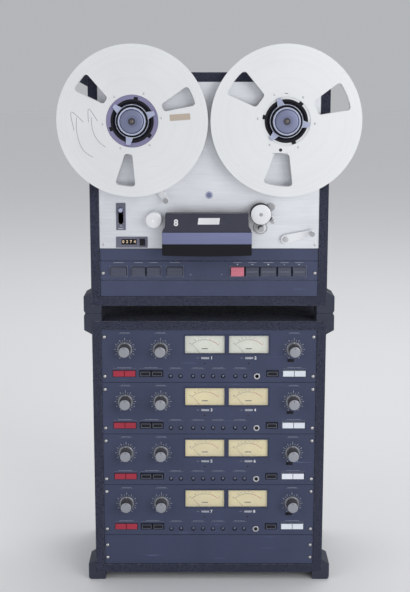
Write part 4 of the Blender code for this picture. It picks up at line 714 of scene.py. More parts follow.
def pebble_group():
    """Grain of covering vinyl or moulded plastic: rounded pebbles with fine creases between them."""
    tree, given, output = new_group(
        "pebble_grain",
        [("Scale", 700.0), ("Unevenness", 0.5)],
        ["Height", "Crease"],
    )
    place = add_node(tree, "ShaderNodeTexCoord").outputs["Object"]
    wander = add_node(tree, "ShaderNodeTexNoise", {"Vector": place, "Scale": 160.0, "Detail": 2.0})
    shift = add_node(
        tree,
        "ShaderNodeVectorMath",
        {0: wander.outputs["Color"], "Scale": 0.0012},
        operation="SCALE",
    )
    bent = add_node(tree, "ShaderNodeVectorMath", {0: place, 1: shift.outputs[0]}, operation="ADD")
    cells = add_node(
        tree,
        "ShaderNodeTexVoronoi",
        {"Vector": bent.outputs[0], "Scale": given.outputs["Scale"]},
        feature="F1",
    )
    crease = mapped(tree, cells.outputs["Distance"], 0.35, 0.75)
    hills = add_node(
        tree, "ShaderNodeTexNoise", {"Vector": bent.outputs[0], "Scale": given.outputs["Scale"], "Detail": 3.0}
    )
    bumps = product(tree, hills.outputs[0], given.outputs["Unevenness"])
    height = add_node(tree, "ShaderNodeMath", {0: bumps, 1: crease}, operation="SUBTRACT")
    tree.links.new(height.outputs[0], output.inputs["Height"])
    tree.links.new(crease, output.inputs["Crease"])
    return tree


def speckle_group():
    """Fine light and dark specks, as in a spattered or textured paint."""
    tree, given, output = new_group(
        "speckled_paint",
        [("Scale", 900.0), ("Share", 0.35)],
        ["Light", "Dark", "Height"],
    )
    place = add_node(tree, "ShaderNodeTexCoord").outputs["Object"]
    noise = add_node(
        tree,
        "ShaderNodeTexNoise",
        {"Vector": place, "Scale": given.outputs["Scale"], "Detail": 2.0, "Roughness": 0.7},
    )
    light = mapped(tree, noise.outputs[0], 0.60, 0.72)
    dark = mapped(tree, noise.outputs[0], 0.42, 0.30)
    tree.links.new(product(tree, light, given.outputs["Share"]), output.inputs["Light"])
    tree.links.new(product(tree, dark, given.outputs["Share"]), output.inputs["Dark"])
    tree.links.new(noise.outputs[0], output.inputs["Height"])
    return tree


def brush_group():
    """Fine straight lines along X, as on brushed sheet."""
    tree, given, output = new_group(
        "brushed_lines",
        [("Fineness", 900.0), ("Line Length", 0.05)],
        ["Streak", "Broad"],
    )
    place = add_node(tree, "ShaderNodeTexCoord").outputs["Object"]
    split = add_node(tree, "ShaderNodeSeparateXYZ", {0: place})
    fine = given.outputs["Fineness"]
    along = add_node(
        tree, "ShaderNodeMath", {0: split.outputs["X"], 1: given.outputs["Line Length"]}, operation="DIVIDE"
    )
    lines = add_node(
        tree,
        "ShaderNodeCombineXYZ",
        {
            "X": along.outputs[0],
            "Y": product(tree, split.outputs["Y"], fine),
            "Z": product(tree, split.outputs["Z"], fine),
        },
    )
    streak = add_node(
        tree, "ShaderNodeTexNoise", {"Vector": lines.outputs[0], "Scale": 1.0, "Detail": 3.0, "Roughness": 0.6}
    )
    wide = add_node(
        tree, "ShaderNodeVectorMath", {0: lines.outputs[0], "Scale": 0.06}, operation="SCALE"
    )
    broad = add_node(tree, "ShaderNodeTexNoise", {"Vector": wide.outputs[0], "Scale": 1.0, "Detail": 1.0})
    tree.links.new(streak.outputs[0], output.inputs["Streak"])
    tree.links.new(broad.outputs[0], output.inputs["Broad"])
    return tree


def spin_group():
    """Fine rings about the piece's own axis, as on turned or spun metal."""
    tree, given, output = new_group(
        "spun_rings",
        [("Fineness", 1500.0)],
        ["Ring"],
    )
    away = add_node(tree, "ShaderNodeAttribute", attribute_name="around", attribute_type="GEOMETRY")
    split = add_node(tree, "ShaderNodeSeparateXYZ", {0: away.outputs["Vector"]})
    across = product(tree, split.outputs["X"], split.outputs["X"])
    distance = add_node(
        tree,
        "ShaderNodeMath",
        {0: split.outputs["Z"], 1: split.outputs["Z"], 2: across},
        operation="MULTIPLY_ADD",
    )
    radius = add_node(tree, "ShaderNodeMath", {0: distance.outputs[0]}, operation="SQRT").outputs[0]
    rings = add_node(
        tree,
        "ShaderNodeCombineXYZ",
        {"X": product(tree, radius, given.outputs["Fineness"]), "Y": product(tree, split.outputs["Y"], 300.0)},
    )
    ring = add_node(
        tree, "ShaderNodeTexNoise", {"Vector": rings.outputs[0], "Scale": 1.0, "Detail": 3.0, "Roughness": 0.6}
    )
    tree.links.new(ring.outputs[0], output.inputs["Ring"])
    return tree


def use_group():
    """Marks of long use: smudges from hands, fine scratches, a rim mask and dust on what faces up. The rim mask is
    rubbed wear on most finishes and painted shade on the enamels.
    """
    tree, given, output = new_group(
        "marks_of_use",
        [("Rub", 0.6), ("Scratches", 0.5), ("Dust", 0.4)],
        ["Smudge", "Scratch", "Rubbed", "Dust"],
    )
    place = add_node(tree, "ShaderNodeTexCoord").outputs["Object"]
    smudge = add_node(tree, "ShaderNodeTexNoise", {"Vector": place, "Scale": 14.0, "Detail": 4.0})
    rim = add_node(tree, "ShaderNodeAttribute", attribute_name="rim", attribute_type="GEOMETRY")
    ragged = add_node(tree, "ShaderNodeTexNoise", {"Vector": place, "Scale": 220.0, "Detail": 4.0})
    broken = mapped(tree, ragged.outputs[0], 0.46, 0.60)
    # rim mask: rubbed wear on most finishes, painted shade on the enamels
    rubbed = product(tree, product(tree, rim.outputs["Fac"], broken), given.outputs["Rub"])
    slant = add_node(
        tree, "ShaderNodeMapping", {"Vector": place, "Rotation": (0.4, 0.9, 0.3), "Scale": (14.0, 900.0, 420.0)}
    )
    lines = add_node(tree, "ShaderNodeTexNoise", {"Vector": slant.outputs[0], "Scale": 1.0, "Detail": 1.0})
    patch = mapped(tree, smudge.outputs[0], 0.50, 0.62)
    scratch = product(tree, mapped(tree, lines.outputs[0], 0.70, 0.76), patch)
    facing = add_node(tree, "ShaderNodeNewGeometry").outputs["Normal"]
    up = add_node(tree, "ShaderNodeSeparateXYZ", {0: facing}).outputs["Z"]
    settled_dust = product(tree, mapped(tree, up, 0.4, 0.95), mapped(tree, ragged.outputs[0], 0.25, 0.80))
    tree.links.new(smudge.outputs[0], output.inputs["Smudge"])
    tree.links.new(product(tree, scratch, given.outputs["Scratches"]), output.inputs["Scratch"])
    tree.links.new(rubbed, output.inputs["Rubbed"])
    tree.links.new(product(tree, settled_dust, given.outputs["Dust"]), output.inputs["Dust"])
    return tree


GROUPS = {
    "pebble": pebble_group(),
    "speckle": speckle_group(),
    "brush": brush_group(),
    "spin": spin_group(),
    "use": use_group(),
}


def placed(tree, group, **values):
    """Puts a shader group into a material with its own values, and returns its outputs."""
    node = tree.nodes.new("ShaderNodeGroup")
    node.node_tree = GROUPS[group]
    for name, value in values.items():
        node.inputs[name.replace("_", " ").title()].default_value = value
    return node.outputs


MATERIALS = {}


def material_named(name):
    """A fresh material with its Principled shader. Returns the material, its tree and the shader."""
    made = bpy.data.materials.new(name)
    made.use_nodes = True
    return made, made.node_tree, made.node_tree.nodes["Principled BSDF"]


def bump(tree, shader, height, strength, distance):
    node = add_node(tree, "ShaderNodeBump", {"Height": height, "Strength": strength, "Distance": distance})
    tree.links.new(node.outputs[0], shader.inputs["Normal"])


def shade(colour, factor):
    """A colour made lighter or darker."""
    return (*[min(1.0, c * factor) for c in colour[:3]], 1.0)


def vinyl(name, colour, scale, worn):
    """Pebbled covering: painted light and shade of the grain, with pebble tops lighter and creases darker, rims rubbed
    paler, dust on the tops.
    """
    made, tree, shader = material_named(name)
    grain = placed(tree, "pebble", scale=scale, unevenness=0.6)
    marks = placed(tree, "use", rub=worn, scratches=0.4, dust=0.16)
    # painted light and shade: pebble tops lighter and creases darker than the vinyl's own colour
    base = blended(tree, grain["Crease"], shade(colour, 1.25), shade(colour, 0.55))
    patchy = blended(tree, mapped(tree, marks["Smudge"], 0.3, 0.7), base, shade(colour, 0.8))
    rubbed = blended(tree, marks["Rubbed"], patchy, (0.30, 0.29, 0.28, 1.0))
    dusty = blended(tree, marks["Dust"], rubbed, (0.30, 0.30, 0.32, 1.0))
    tree.links.new(dusty, shader.inputs["Base Color"])
    tree.links.new(mapped(tree, grain["Height"], -0.6, 0.5, 0.85, 0.5), shader.inputs["Roughness"])
    shader.inputs["Specular IOR Level"].default_value = 0.25
    bump(tree, shader, grain["Height"], 0.45, 0.0004)
    return made


def speckled(name, colour, rough=0.5):
    """Stove enamel on a panel, with fine specks, painted shade darkening its rims and the marks of hands."""
    made, tree, shader = material_named(name)
    specks = placed(tree, "speckle", scale=2400.0, share=0.40)
    marks = placed(tree, "use", rub=1.0, scratches=0.5, dust=0.15)
    light = blended(tree, specks["Light"], shade(colour, 1.0), shade(colour, 1.40))
    both = blended(tree, specks["Dark"], light, shade(colour, 0.72))
    cloudy = blended(tree, product(tree, mapped(tree, marks["Smudge"], 0.35, 0.75), 0.3), both, shade(colour, 1.5))
    scratched = blended(tree, marks["Scratch"], cloudy, shade(colour, 4.0))
    # painted shade: the rims are darkened to a quarter of the enamel's colour, for the dark gaps round panels and
    # covers
    edged = blended(tree, marks["Rubbed"], scratched, shade(colour, 0.25))
    tree.links.new(blended(tree, marks["Dust"], edged, (0.30, 0.30, 0.32, 1.0)), shader.inputs["Base Color"])
    tree.links.new(mapped(tree, marks["Smudge"], 0.3, 0.7, rough + 0.1, rough - 0.08), shader.inputs["Roughness"])
    shader.inputs["Specular IOR Level"].default_value = 0.3
    bump(tree, shader, specks["Height"], 0.10, 0.0001)
    return made


def brushed(name, colour, rough, metallic=1.0, strength=0.18):
    """Brushed sheet metal with lines along X and faint smudges."""
    made, tree, shader = material_named(name)
    lines = placed(tree, "brush", fineness=1400.0, line_length=0.05)
    marks = placed(tree, "use", rub=0.0, scratches=0.35, dust=0.1)
    base = blended(tree, mapped(tree, lines["Streak"], 0.3, 0.7), shade(colour, 0.90), shade(colour, 1.05))
    broad = blended(tree, product(tree, mapped(tree, lines["Broad"], 0.4, 0.7), 0.35), base, shade(colour, 0.86))
    scratched = blended(tree, marks["Scratch"], broad, shade(colour, 0.6))
    tree.links.new(scratched, shader.inputs["Base Color"])
    tree.links.new(mapped(tree, marks["Smudge"], 0.35, 0.7, rough, rough + 0.14), shader.inputs["Roughness"])
    shader.inputs["Metallic"].default_value = metallic
    shader.inputs["Anisotropic"].default_value = 0.4
    bump(tree, shader, lines["Streak"], strength, 0.00012)
    return made


def spun(name, colour, rough, metallic=1.0, fineness=1500.0, strength=0.06):
    """Turned metal with fine rings about its own centre."""
    made, tree, shader = material_named(name)
    rings = placed(tree, "spin", fineness=fineness)
    marks = placed(tree, "use", rub=0.3, scratches=0.4, dust=0.1)
    base = blended(tree, mapped(tree, rings["Ring"], 0.3, 0.7), shade(colour, 0.95), shade(colour, 1.03))
    scratched = blended(tree, marks["Scratch"], base, shade(colour, 0.75))
    tree.links.new(scratched, shader.inputs["Base Color"])
    tree.links.new(mapped(tree, marks["Smudge"], 0.35, 0.7, rough, rough + 0.10), shader.inputs["Roughness"])
    shader.inputs["Metallic"].default_value = metallic
    bump(tree, shader, rings["Ring"], strength, 0.0001)
    return made


def moulded(name, colour, rough=0.42, grain=0.12, coat=0.0):
    """Moulded plastic with a faint grain, worn shiny and pale on its rims."""
    made, tree, shader = material_named(name)
    texture = placed(tree, "pebble", scale=1900.0, unevenness=0.9)
    marks = placed(tree, "use", rub=0.45, scratches=0.35, dust=0.12)
    patchy = blended(tree, mapped(tree, marks["Smudge"], 0.35, 0.7), shade(colour, 1.0), shade(colour, 1.18))
    scratched = blended(tree, marks["Scratch"], patchy, shade(colour, 2.2))
    rubbed = blended(tree, marks["Rubbed"], scratched, shade(colour, 2.4))
    tree.links.new(blended(tree, marks["Dust"], rubbed, (0.30, 0.30, 0.32, 1.0)), shader.inputs["Base Color"])
    tree.links.new(mapped(tree, marks["Smudge"], 0.3, 0.7, rough + 0.08, rough - 0.06), shader.inputs["Roughness"])
    shader.inputs["Coat Weight"].default_value = coat
    shader.inputs["Specular IOR Level"].default_value = 0.2
    bump(tree, shader, texture["Height"], grain, 0.00015)
    return made


def polished(name, colour, rough=0.18, metallic=1.0):
    """Ground or plated metal with light handling marks."""
    made, tree, shader = material_named(name)
    marks = placed(tree, "use", rub=0.0, scratches=0.5, dust=0.1)
    tint = blended(tree, mapped(tree, marks["Smudge"], 0.35, 0.7), shade(colour, 1.0), shade(colour, 0.85))
    tree.links.new(blended(tree, marks["Scratch"], tint, shade(colour, 0.6)), shader.inputs["Base Color"])
    tree.links.new(mapped(tree, marks["Smudge"], 0.3, 0.7, rough, rough + 0.15), shader.inputs["Roughness"])
    shader.inputs["Metallic"].default_value = metallic
    bump(tree, shader, marks["Smudge"], 0.05, 0.0005)
    return made


def ink(name, colour, rough=0.5, glow=0.0):
    """Printed ink or a sticker: slightly uneven cover. Some of these inks also serve for painted shade and a painted
    highlight, and a glow makes one give off light.
    """
    made, tree, shader = material_named(name)
    marks = placed(tree, "use", rub=0.0, scratches=0.6, dust=0.0)
    uneven = blended(tree, mapped(tree, marks["Smudge"], 0.3, 0.7), shade(colour, 1.0), shade(colour, 0.82))
    tree.links.new(uneven, shader.inputs["Base Color"])
    tree.links.new(mapped(tree, marks["Smudge"], 0.3, 0.7, rough, rough + 0.2), shader.inputs["Roughness"])
    if glow:
        tree.links.new(uneven, shader.inputs["Emission Color"])
        shader.inputs["Emission Strength"].default_value = glow
    return made


def finish_all(colours):
    """Makes every finish of the recorder."""
    MATERIALS.update(
        vinyl=vinyl("cabinet_vinyl", colours.cabinet, 430.0, 0.40),
        block=moulded("corner_block_plastic", colours.block, 0.55, 0.25),
        panel=speckled("panel_enamel", colours.panel),
        key_panel=speckled("key_panel_enamel", colours.key_panel),
        deck=brushed("deck_aluminium", colours.deck, 0.34),
        band=brushed("band_aluminium", colours.band, 0.30),
        reel=spun("reel_aluminium", colours.reel, 0.44, 0.55),
        hub=moulded("hub_plastic", colours.hub, 0.5),
        pale_hub=moulded("pale_hub_plastic", colours.pale_hub, 0.5),
        lug=moulded("lug_plastic", colours.lug, 0.45),
        grip=moulded("grip_plastic", colours.grip, 0.5),
        cap=spun("adapter_cap_metal", colours.adapter_cap, 0.38),
        bolt=polished("adapter_bolt", (0.20, 0.18, 0.17), 0.25),
        black=moulded("black_plastic", colours.black, 0.38),
        # glossy black plastic, also laid on walls, rings and button tops as painted shade
        gloss=moulded("glossy_black_plastic", shade(colours.black, 0.6), 0.40, 0.04, 0.03),
        speckle=speckled("cover_enamel", colours.cover, 0.5),
        frame=moulded("bezel_plastic", colours.bezel, 0.45),
        meter_frame=moulded("meter_frame_plastic", shade((*colours.panel, 1.0), 0.85), 0.5),
        trimmer=polished("trimmer_slot_metal", (0.22, 0.24, 0.34), 0.4),
        key=moulded("key_plastic", colours.key, 0.36),
        red_key=moulded("red_key_plastic", colours.red_key, 0.34),
        red=moulded("red_button_plastic", colours.red_button, 0.32),
        white=moulded("white_button_plastic", colours.white_button, 0.34),
        knob_metal=spun("knob_cap_metal", colours.knob_cap, 0.36),
        knob_body=moulded("knob_body_plastic", colours.knob_body, 0.45),
        white_metal=spun("white_roller_metal", colours.white_metal, 0.36, 0.35),
        steel=polished("ground_steel", (0.56, 0.56, 0.58), 0.22),
        screw=polished("plated_screw", (0.66, 0.66, 0.68), 0.28),
        dark_screw=polished("blackened_screw", (0.10, 0.10, 0.12), 0.35),
        zinc=brushed("zinc_sheet", (0.50, 0.50, 0.48), 0.42),
        motor=speckled("motor_enamel", (0.045, 0.045, 0.05), 0.45),
        rubber=moulded("pinch_rubber", (0.022, 0.022, 0.023), 0.8, 0.6),
        print=ink("panel_print", (0.52, 0.54, 0.60)),
        bright_print=ink("bright_panel_print", (0.80, 0.81, 0.84)),
        faint_print=ink("faint_panel_print", (0.24, 0.26, 0.34)),
        sticker=ink("white_sticker", (0.82, 0.83, 0.85), 0.4),
        tan=ink("tan_label", (0.50, 0.42, 0.34), 0.6),
        dark_ink=ink("dark_print", (0.03, 0.03, 0.035)),
        pen=ink("pen_line", (0.32, 0.31, 0.36)),
        red_ink=ink("red_print", (0.55, 0.10, 0.10)),
        # painted light: the counter's figures glow a little, though nothing lights them
        amber=ink("counter_figures", (0.80, 0.62, 0.42), 0.5, 0.15),
        lamp=ink("indicator_lens", (0.05, 0.01, 0.01), 0.15),
        dial=ink("dial_card", colours.dial, 0.6, 0.14),
        warm_dial=ink("warm_dial_card", colours.warm_dial, 0.6, 0.18),
        gold=polished("gold_socket", (0.75, 0.56, 0.25), 0.25),
        glass=meter_glass(),
    )


def meter_glass():
    """The clear window of a level meter, thin and a little dusty."""
    made, tree, shader = material_named("meter_window")
    marks = placed(tree, "use", rub=0.0, scratches=0.5, dust=0.4)
    tree.links.new(blended(tree, marks["Dust"], (0.9, 0.9, 0.9, 1.0), (0.7, 0.7, 0.7, 1.0)), shader.inputs["Base Color"])
    tree.links.new(mapped(tree, marks["Smudge"], 0.3, 0.7, 0.03, 0.10), shader.inputs["Roughness"])
    tree.links.new(mapped(tree, marks["Smudge"], 0.3, 0.8, 0.08, 0.16), shader.inputs["Alpha"])
    return made


def coat(material, *nodes):
    """Gives frame nodes that stay in view one of the finishes."""
    for node in nodes:
        for place in NODES[node].material_slots:
            place.material = MATERIALS[material]


# Small parts that several pieces use


def seat(x, z, proud):
    """World point for a place in the front view."""
    return Vector((x, FRONT - proud, z))


def bars(name, strips, proud, material, rise=PRINT_RISE):
    """Thin printed strips on a surface: each is left, right, bottom and top."""
    shape = bmesh.new()
    for x0, x1, z0, z1 in strips:
        made = bmesh.ops.create_cube(shape, size=1.0)["verts"]
        bmesh.ops.scale(shape, vec=Vector((x1 - x0, rise, z1 - z0)), verts=made)
        bmesh.ops.translate(shape, vec=seat((x0 + x1) / 2, (z0 + z1) / 2, proud + rise / 2), verts=made)
    return paint(from_bmesh(name, shape), MATERIALS[material])


def dashes(name, x0, x1, z0, z1, material, seed):
    """A row of short uneven strips on a panel that stands for a printed word."""
    chance = random.Random(seed)
    strips = []
    left = x0
    while left < x1:
        right = min(left + chance.uniform(0.0008, 0.0016), x1)
        strips.append((left, right, z0 + chance.choice((0.0, 0.0003)), z1 - chance.choice((0.0, 0.0003))))
        left = right + 0.0004
    return bars(name, strips, FACE, material)


def figures(name, text, x, z, height, proud, material, rise=PRINT_RISE):
    """Printed figures, centred on a place."""
    curve = bpy.data.curves.new(name, "FONT")
    curve.body = text
    curve.size = height * 1.4
    curve.align_x = "CENTER"
    curve.align_y = "CENTER"
    curve.extrude = rise / 2
    curve.offset = height * 0.035
    curve.resolution_u = 3
    made = link(name, curve)
    made.matrix_world = Matrix.Translation(seat(x, z, proud + rise / 2)) @ FRONT_VIEW
    return paint(tidy(settled(made)), MATERIALS[material])


def disc(name, x, z, radius, back, front, material, edge=0.0003, steps=MID_STEPS):
    """A round plate with a softened rim."""
    profile = [
        (0.0, front),
        (radius - edge, front),
        (radius - edge * 0.3, front - edge * 0.3),
        (radius, front - edge),
        (radius, back),
        (0.0, back),
    ]
    return paint(turned(name, x, z, profile, steps), MATERIALS[material])


def ring(name, x, z, inner, outer, back, front, material, edge=0.0004, steps=MID_STEPS):
    """A washer with softened rims."""
    profile = [
        (inner, front - edge),
        (inner + edge * 0.3, front - edge * 0.3),
        (inner + edge, front),
        (outer - edge, front),
        (outer - edge * 0.3, front - edge * 0.3),
        (outer, front - edge),
        (outer, back),
        (inner, back),
    ]
    return paint(turned(name, x, z, profile, steps), MATERIALS[material])


def frame_strip(name, x0, x1, z0, z1, width, proud, material, rise=PRINT_RISE):
    """A thin printed outline round a rectangle."""
    made = plate(
        name,
        [rectangle(x0 - width, x1 + width, z0 - width, z1 + width), rectangle(x0, x1, z0, z1)],
        proud,
        proud + rise,
    )
    return paint(made, MATERIALS[material])


def carved(obj, *cutters):
    """Cuts shapes out of a piece."""
    for cutter in cutters:
        step = obj.modifiers.new("cut", "BOOLEAN")
        step.operation = "DIFFERENCE"
        step.object = cutter
    made = settled(obj)
    for cutter in cutters:
        bpy.data.objects.remove(cutter, do_unlink=True)
    return made


def screw_head(radius, rise, slots):
    """A domed screw head at the origin, facing the viewer, with one slot or a cross cut into it."""
    profile = [(0.0, rise)]
    for share in (0.35, 0.62, 0.82, 0.95, 1.0):
        profile.append((radius * share, rise * math.sqrt(1.0 - share * share * 0.92)))
    profile += [(radius, 0.0), (0.0, 0.0)]
    head = turned("screw", 0.0, 0.0, profile, SMALL_STEPS)
    half_width = radius * 0.13
    reach = radius * (0.62 if slots == 2 else 1.2)
    floor = rise * 0.35
    cutters = []
    for turn in range(slots):
        cutter = block("slot", -reach, reach, floor, rise * 2.0, -half_width, half_width)
        cutter.data.transform(Matrix.Rotation(math.pi / 2 * turn, 4, "Y"))
        cutters.append(cutter)
    head = carved(head, *cutters)
    head.data.transform(Matrix.Translation((0.0, -FRONT, 0.0)))
    return head


def screws(name, places, proud, radius, rise, slots, material, cup=0.0, seed=3):
    """Screw heads on a surface, each turned as chance left it, in dark cup washers of the given width."""
    head = screw_head(radius, rise, slots)
    points = [seat(x, z, proud) for x, z in places]
    made = copies_at(name, head, points, MATERIALS[material], math.tau, seed)
    if cup:
        washers = [ring("washer", x, z, radius, radius + cup, proud, proud + rise * 0.3, "dark_screw", 0.0002, SMALL_STEPS) for x, z in places]
        made = joined(name, [made, *washers])
    return fit(made, "recorder")


# Pieces of the recorder


def cabinets(sizes):
    """Both cabinets: pebbled boards with moulded blocks on their corners."""
    for node, name in (("rack_case", "rack_cabinet"), ("transport_case", "transport_cabinet")):
        low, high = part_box(node)
        made = copy_of(node, name, sizes.cabinet_edge, 3)
        side = high.x - BLOCK_PROUD + HAIR
        bottom = low.z + BLOCK_PROUD - HAIR
        top = high.z - BLOCK_PROUD + HAIR
        paint(made, MATERIALS["vinyl"], MATERIALS["block"])
        for face in made.data.polygons:
            centre = face.center
            outside = abs(centre.x) > side or centre.z > top or centre.z < bottom
            face.material_index = 1 if outside else 0
        fit(made, "recorder", [node], rim=True)


def plain_panels(sizes):
    """The flat enamelled panels and their screws."""
    for node, name in (("lower_panel", "lower_front"), ("blank_panel", "blank_front")):
        made = paint(copy_of(node, name, sizes.panel_edge), MATERIALS["key_panel" if node == "lower_panel" else "panel"])
        fit(made, "recorder", [node], rim=True)
    low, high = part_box("blank_panel")
    rows = (low.z + BLANK_SCREW_ROWS[0], low.z + BLANK_SCREW_ROWS[1])
    places = [(side * PANEL_SCREW_X, z) for side in (-1, 1) for z in rows]
    screws("blank_screws", places, FACE, sizes.screw_radius, sizes.screw_rise, 2, "screw", CUP_WIDTH)


def deck_parts(sizes):
    """The deck's finish, its corner screws, its bare badge, the cue slot's frame and the guide post."""
    coat("deck", "deck_plate")
    inset = DECK_SCREW_INSET
    corners = [(x, z) for x in (DECK_LOW.x + inset, DECK_HIGH.x - inset) for z in (DECK_LOW.z + inset, DECK_HIGH.z - inset)]
    screws("deck_screws", corners, FACE, sizes.screw_radius * 0.8, sizes.screw_rise * 0.6, 2, "screw")
    badge = ring("deck_badge", BADGE[0], DECK_BOTTOM + BADGE[1], 0.0042, BADGE_RADIUS, FACE, FACE + 0.0007, "lug")
    fit(badge, "recorder", about=(BADGE[0], DECK_BOTTOM + BADGE[1]))
    middle_disc = disc("badge_centre", BADGE[0], DECK_BOTTOM + BADGE[1], 0.0042, FACE, FACE + 0.0004, "cap")
    fit(middle_disc, "recorder")

    width = CUE_FRAME_WIDTH / 2 + HAIR
    outer = rectangle(CUE_X - width, CUE_X + width, DECK_BOTTOM + CUE_FRAME[0], DECK_BOTTOM + CUE_FRAME[1], 0.001)
    half = CUE_SLOT_WIDTH / 2
    top = DECK_BOTTOM + CUE_SLOT_TOP
    slot = rectangle(CUE_X - half, CUE_X + half, top - CUE_SLOT_LENGTH, top, half - HAIR)
    face = FACE + CUE_FRAME_RISE
    cover = paint(plate("cue_frame", [outer, slot], FACE, face + HAIR, edge=0.0003), MATERIALS["frame"])
    fit(cover, "recorder", rim=True)
    dot = disc("cue_mark", CUE_X + 0.0004, DECK_BOTTOM + CUE_FRAME[0] + 0.0075, 0.0012, face, face + HAIR * 2, "print")
    fit(dot, "recorder")
    mark = bars(
        "cue_bar",
        [(CUE_X - 0.0042, CUE_X + 0.0042, DECK_BOTTOM + CUE_FRAME[0] + 0.0022, DECK_BOTTOM + CUE_FRAME[0] + 0.0036)],
        face + HAIR,
        "print",
    )
    fit(mark, "recorder")
    low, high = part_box("cue_lever")
    reach = FRONT - low.y
    shoe_front = FRONT - high.y + 0.004
    shoe = block("shoe", low.x, high.x, FRONT - high.y, shoe_front, low.z, high.z, 0.0006)
    paint(shoe, MATERIALS["black"])
    tip = [
        (0.0, reach),
        (0.0020, reach),
        (0.0034, reach - 0.0006),
        (0.0040, reach - 0.0022),
        (0.0038, shoe_front - HAIR),
        (0.0, shoe_front - HAIR),
    ]
    stem = paint(turned("stem", CUE_X, middle("cue_lever").z, tip), MATERIALS["lug"])
    fit(joined("cue_handle", [shoe, stem]), "cue_lever_body", ["cue_lever"])

    post = [
        (0.0, 0.0311),
        (0.0036, 0.0311),
        (0.0041, 0.0307),
        (0.0041, 0.0291),
        (0.0026, 0.0287),
        (0.0026, FACE + 0.0022),
        (0.0044, FACE + 0.0012),
        (0.0048, FACE),
        (0.0, FACE),
    ]
    place = (POST[0], DECK_BOTTOM + POST[1])
    fit(paint(turned("guide_post", *place, post), MATERIALS["steel"]), "recorder")


def key_outline(key):
    """Left, right, bottom and top of a key in the front view."""
    low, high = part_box(key)
    return low.x, high.x, low.z, high.z


def symbol(name, kind, x, z, size):
    """A printed transport mark: a dot, a square or one or two arrows."""
    pieces = []
    if kind == "dot":
        pieces.append(turn_points(size * 0.8, SMALL_STEPS))
    elif kind == "square":
        pieces.append(rectangle(-size, size, -size * 0.7, size * 0.7))
    else:
        count = 2 if kind in ("rewind", "forward") else 1
        way = -1 if kind == "rewind" else 1
        for i in range(count):
            start = (i - count / 2) * size * 1.1
            pieces.append([(way * start, -size * 0.75), (way * (start + size * 1.1), 0.0), (way * start, size * 0.75)])
    return paint(plate(name, pieces, FACE, FACE + PRINT_RISE, x, z), MATERIALS["print"])


def key_row(sizes):
    """The key panel with its frames and marks, and the keys in it."""
    made = paint(copy_of("key_panel", "key_front", sizes.panel_edge), MATERIALS["key_panel"])
    fit(made, "recorder", ["key_panel"], rim=True)
    outlines = []
    for key in KEYS:
        x0, x1, z0, z1 = key_outline(key)
        outlines.append(frame_strip("frame", x0 - 0.0014, x1 + 0.0014, z0 - 0.0012, z1 + 0.0012, 0.0006, FACE, "faint_print"))
    fit(joined("key_frames", outlines), "recorder")
    marks = []
    for key, kind in KEY_SYMBOLS:
        x0, x1, z0, z1 = key_outline(key)
        marks.append(symbol("mark", kind, (x0 + x1) / 2, z1 + KEY_MARK_RISE, 0.0016))
    for key in KEYS:
        x0, x1, z0, z1 = key_outline(key)
        span = (x1 - x0) * 0.32
        z = z1 + KEY_MARK_RISE + 0.0032
        marks.append(bars("line", [((x0 + x1) / 2 - span, (x0 + x1) / 2 + span, z, z + 0.0005)], FACE, "print"))
    panel_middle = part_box("key_panel")[0].z + 0.0100
    for x in (-0.0334, 0.0232):
        marks.append(symbol("mark", "play", x, panel_middle, 0.0014))
    fit(joined("key_marks", marks), "recorder")
    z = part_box("key_panel")[0].z + KEY_SCREW_Z
    screws("key_panel_screws", [(-PANEL_SCREW_X, z), (PANEL_SCREW_X, z)], FACE, sizes.screw_radius, sizes.screw_rise, 2, "screw", CUP_WIDTH)
    for key in KEYS:
        made = copy_of(key, key + "_cap", 0.0005, 3)
        paint(made, MATERIALS["red_key" if key == "record_key" else "key"])
        # painted highlight: a pale bar across the middle of each ridged key stands for the light on its ridge
        if key in RIDGED_KEYS:
            x0, x1, z0, z1 = key_outline(key)
            z = (z0 + z1) / 2
            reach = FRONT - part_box(key)[0].y
            line = bars("line", [(x0 + 0.002, x1 - 0.002, z - 0.0004, z + 0.0004)], reach - PRINT_RISE, "faint_print")
            made = joined(key + "_cap", [made, line])
        fit(made, key + "_body", [key], rim=True)


def window_outline(middle_angle, inner_width, outer_width):
    """Outline of one window in a reel's flange."""
    inner = math.degrees(inner_width / 2 / WINDOW_INNER)
    outer = math.degrees(outer_width / 2 / WINDOW_OUTER)
    corners = [polar(WINDOW_INNER, middle_angle + inner), polar(WINDOW_INNER, middle_angle - inner)]
    corners.append(polar(WINDOW_OUTER, middle_angle - outer))
    arc = 4
    for step in range(1, arc):
        corners.append(polar(WINDOW_OUTER, middle_angle - outer + 2 * outer * step / arc))
    corners.append(polar(WINDOW_OUTER, middle_angle + outer))
    radii = [WINDOW_ROUND] * 3 + [0.0] * (arc - 1) + [WINDOW_ROUND]
    return rounded(corners, radii)


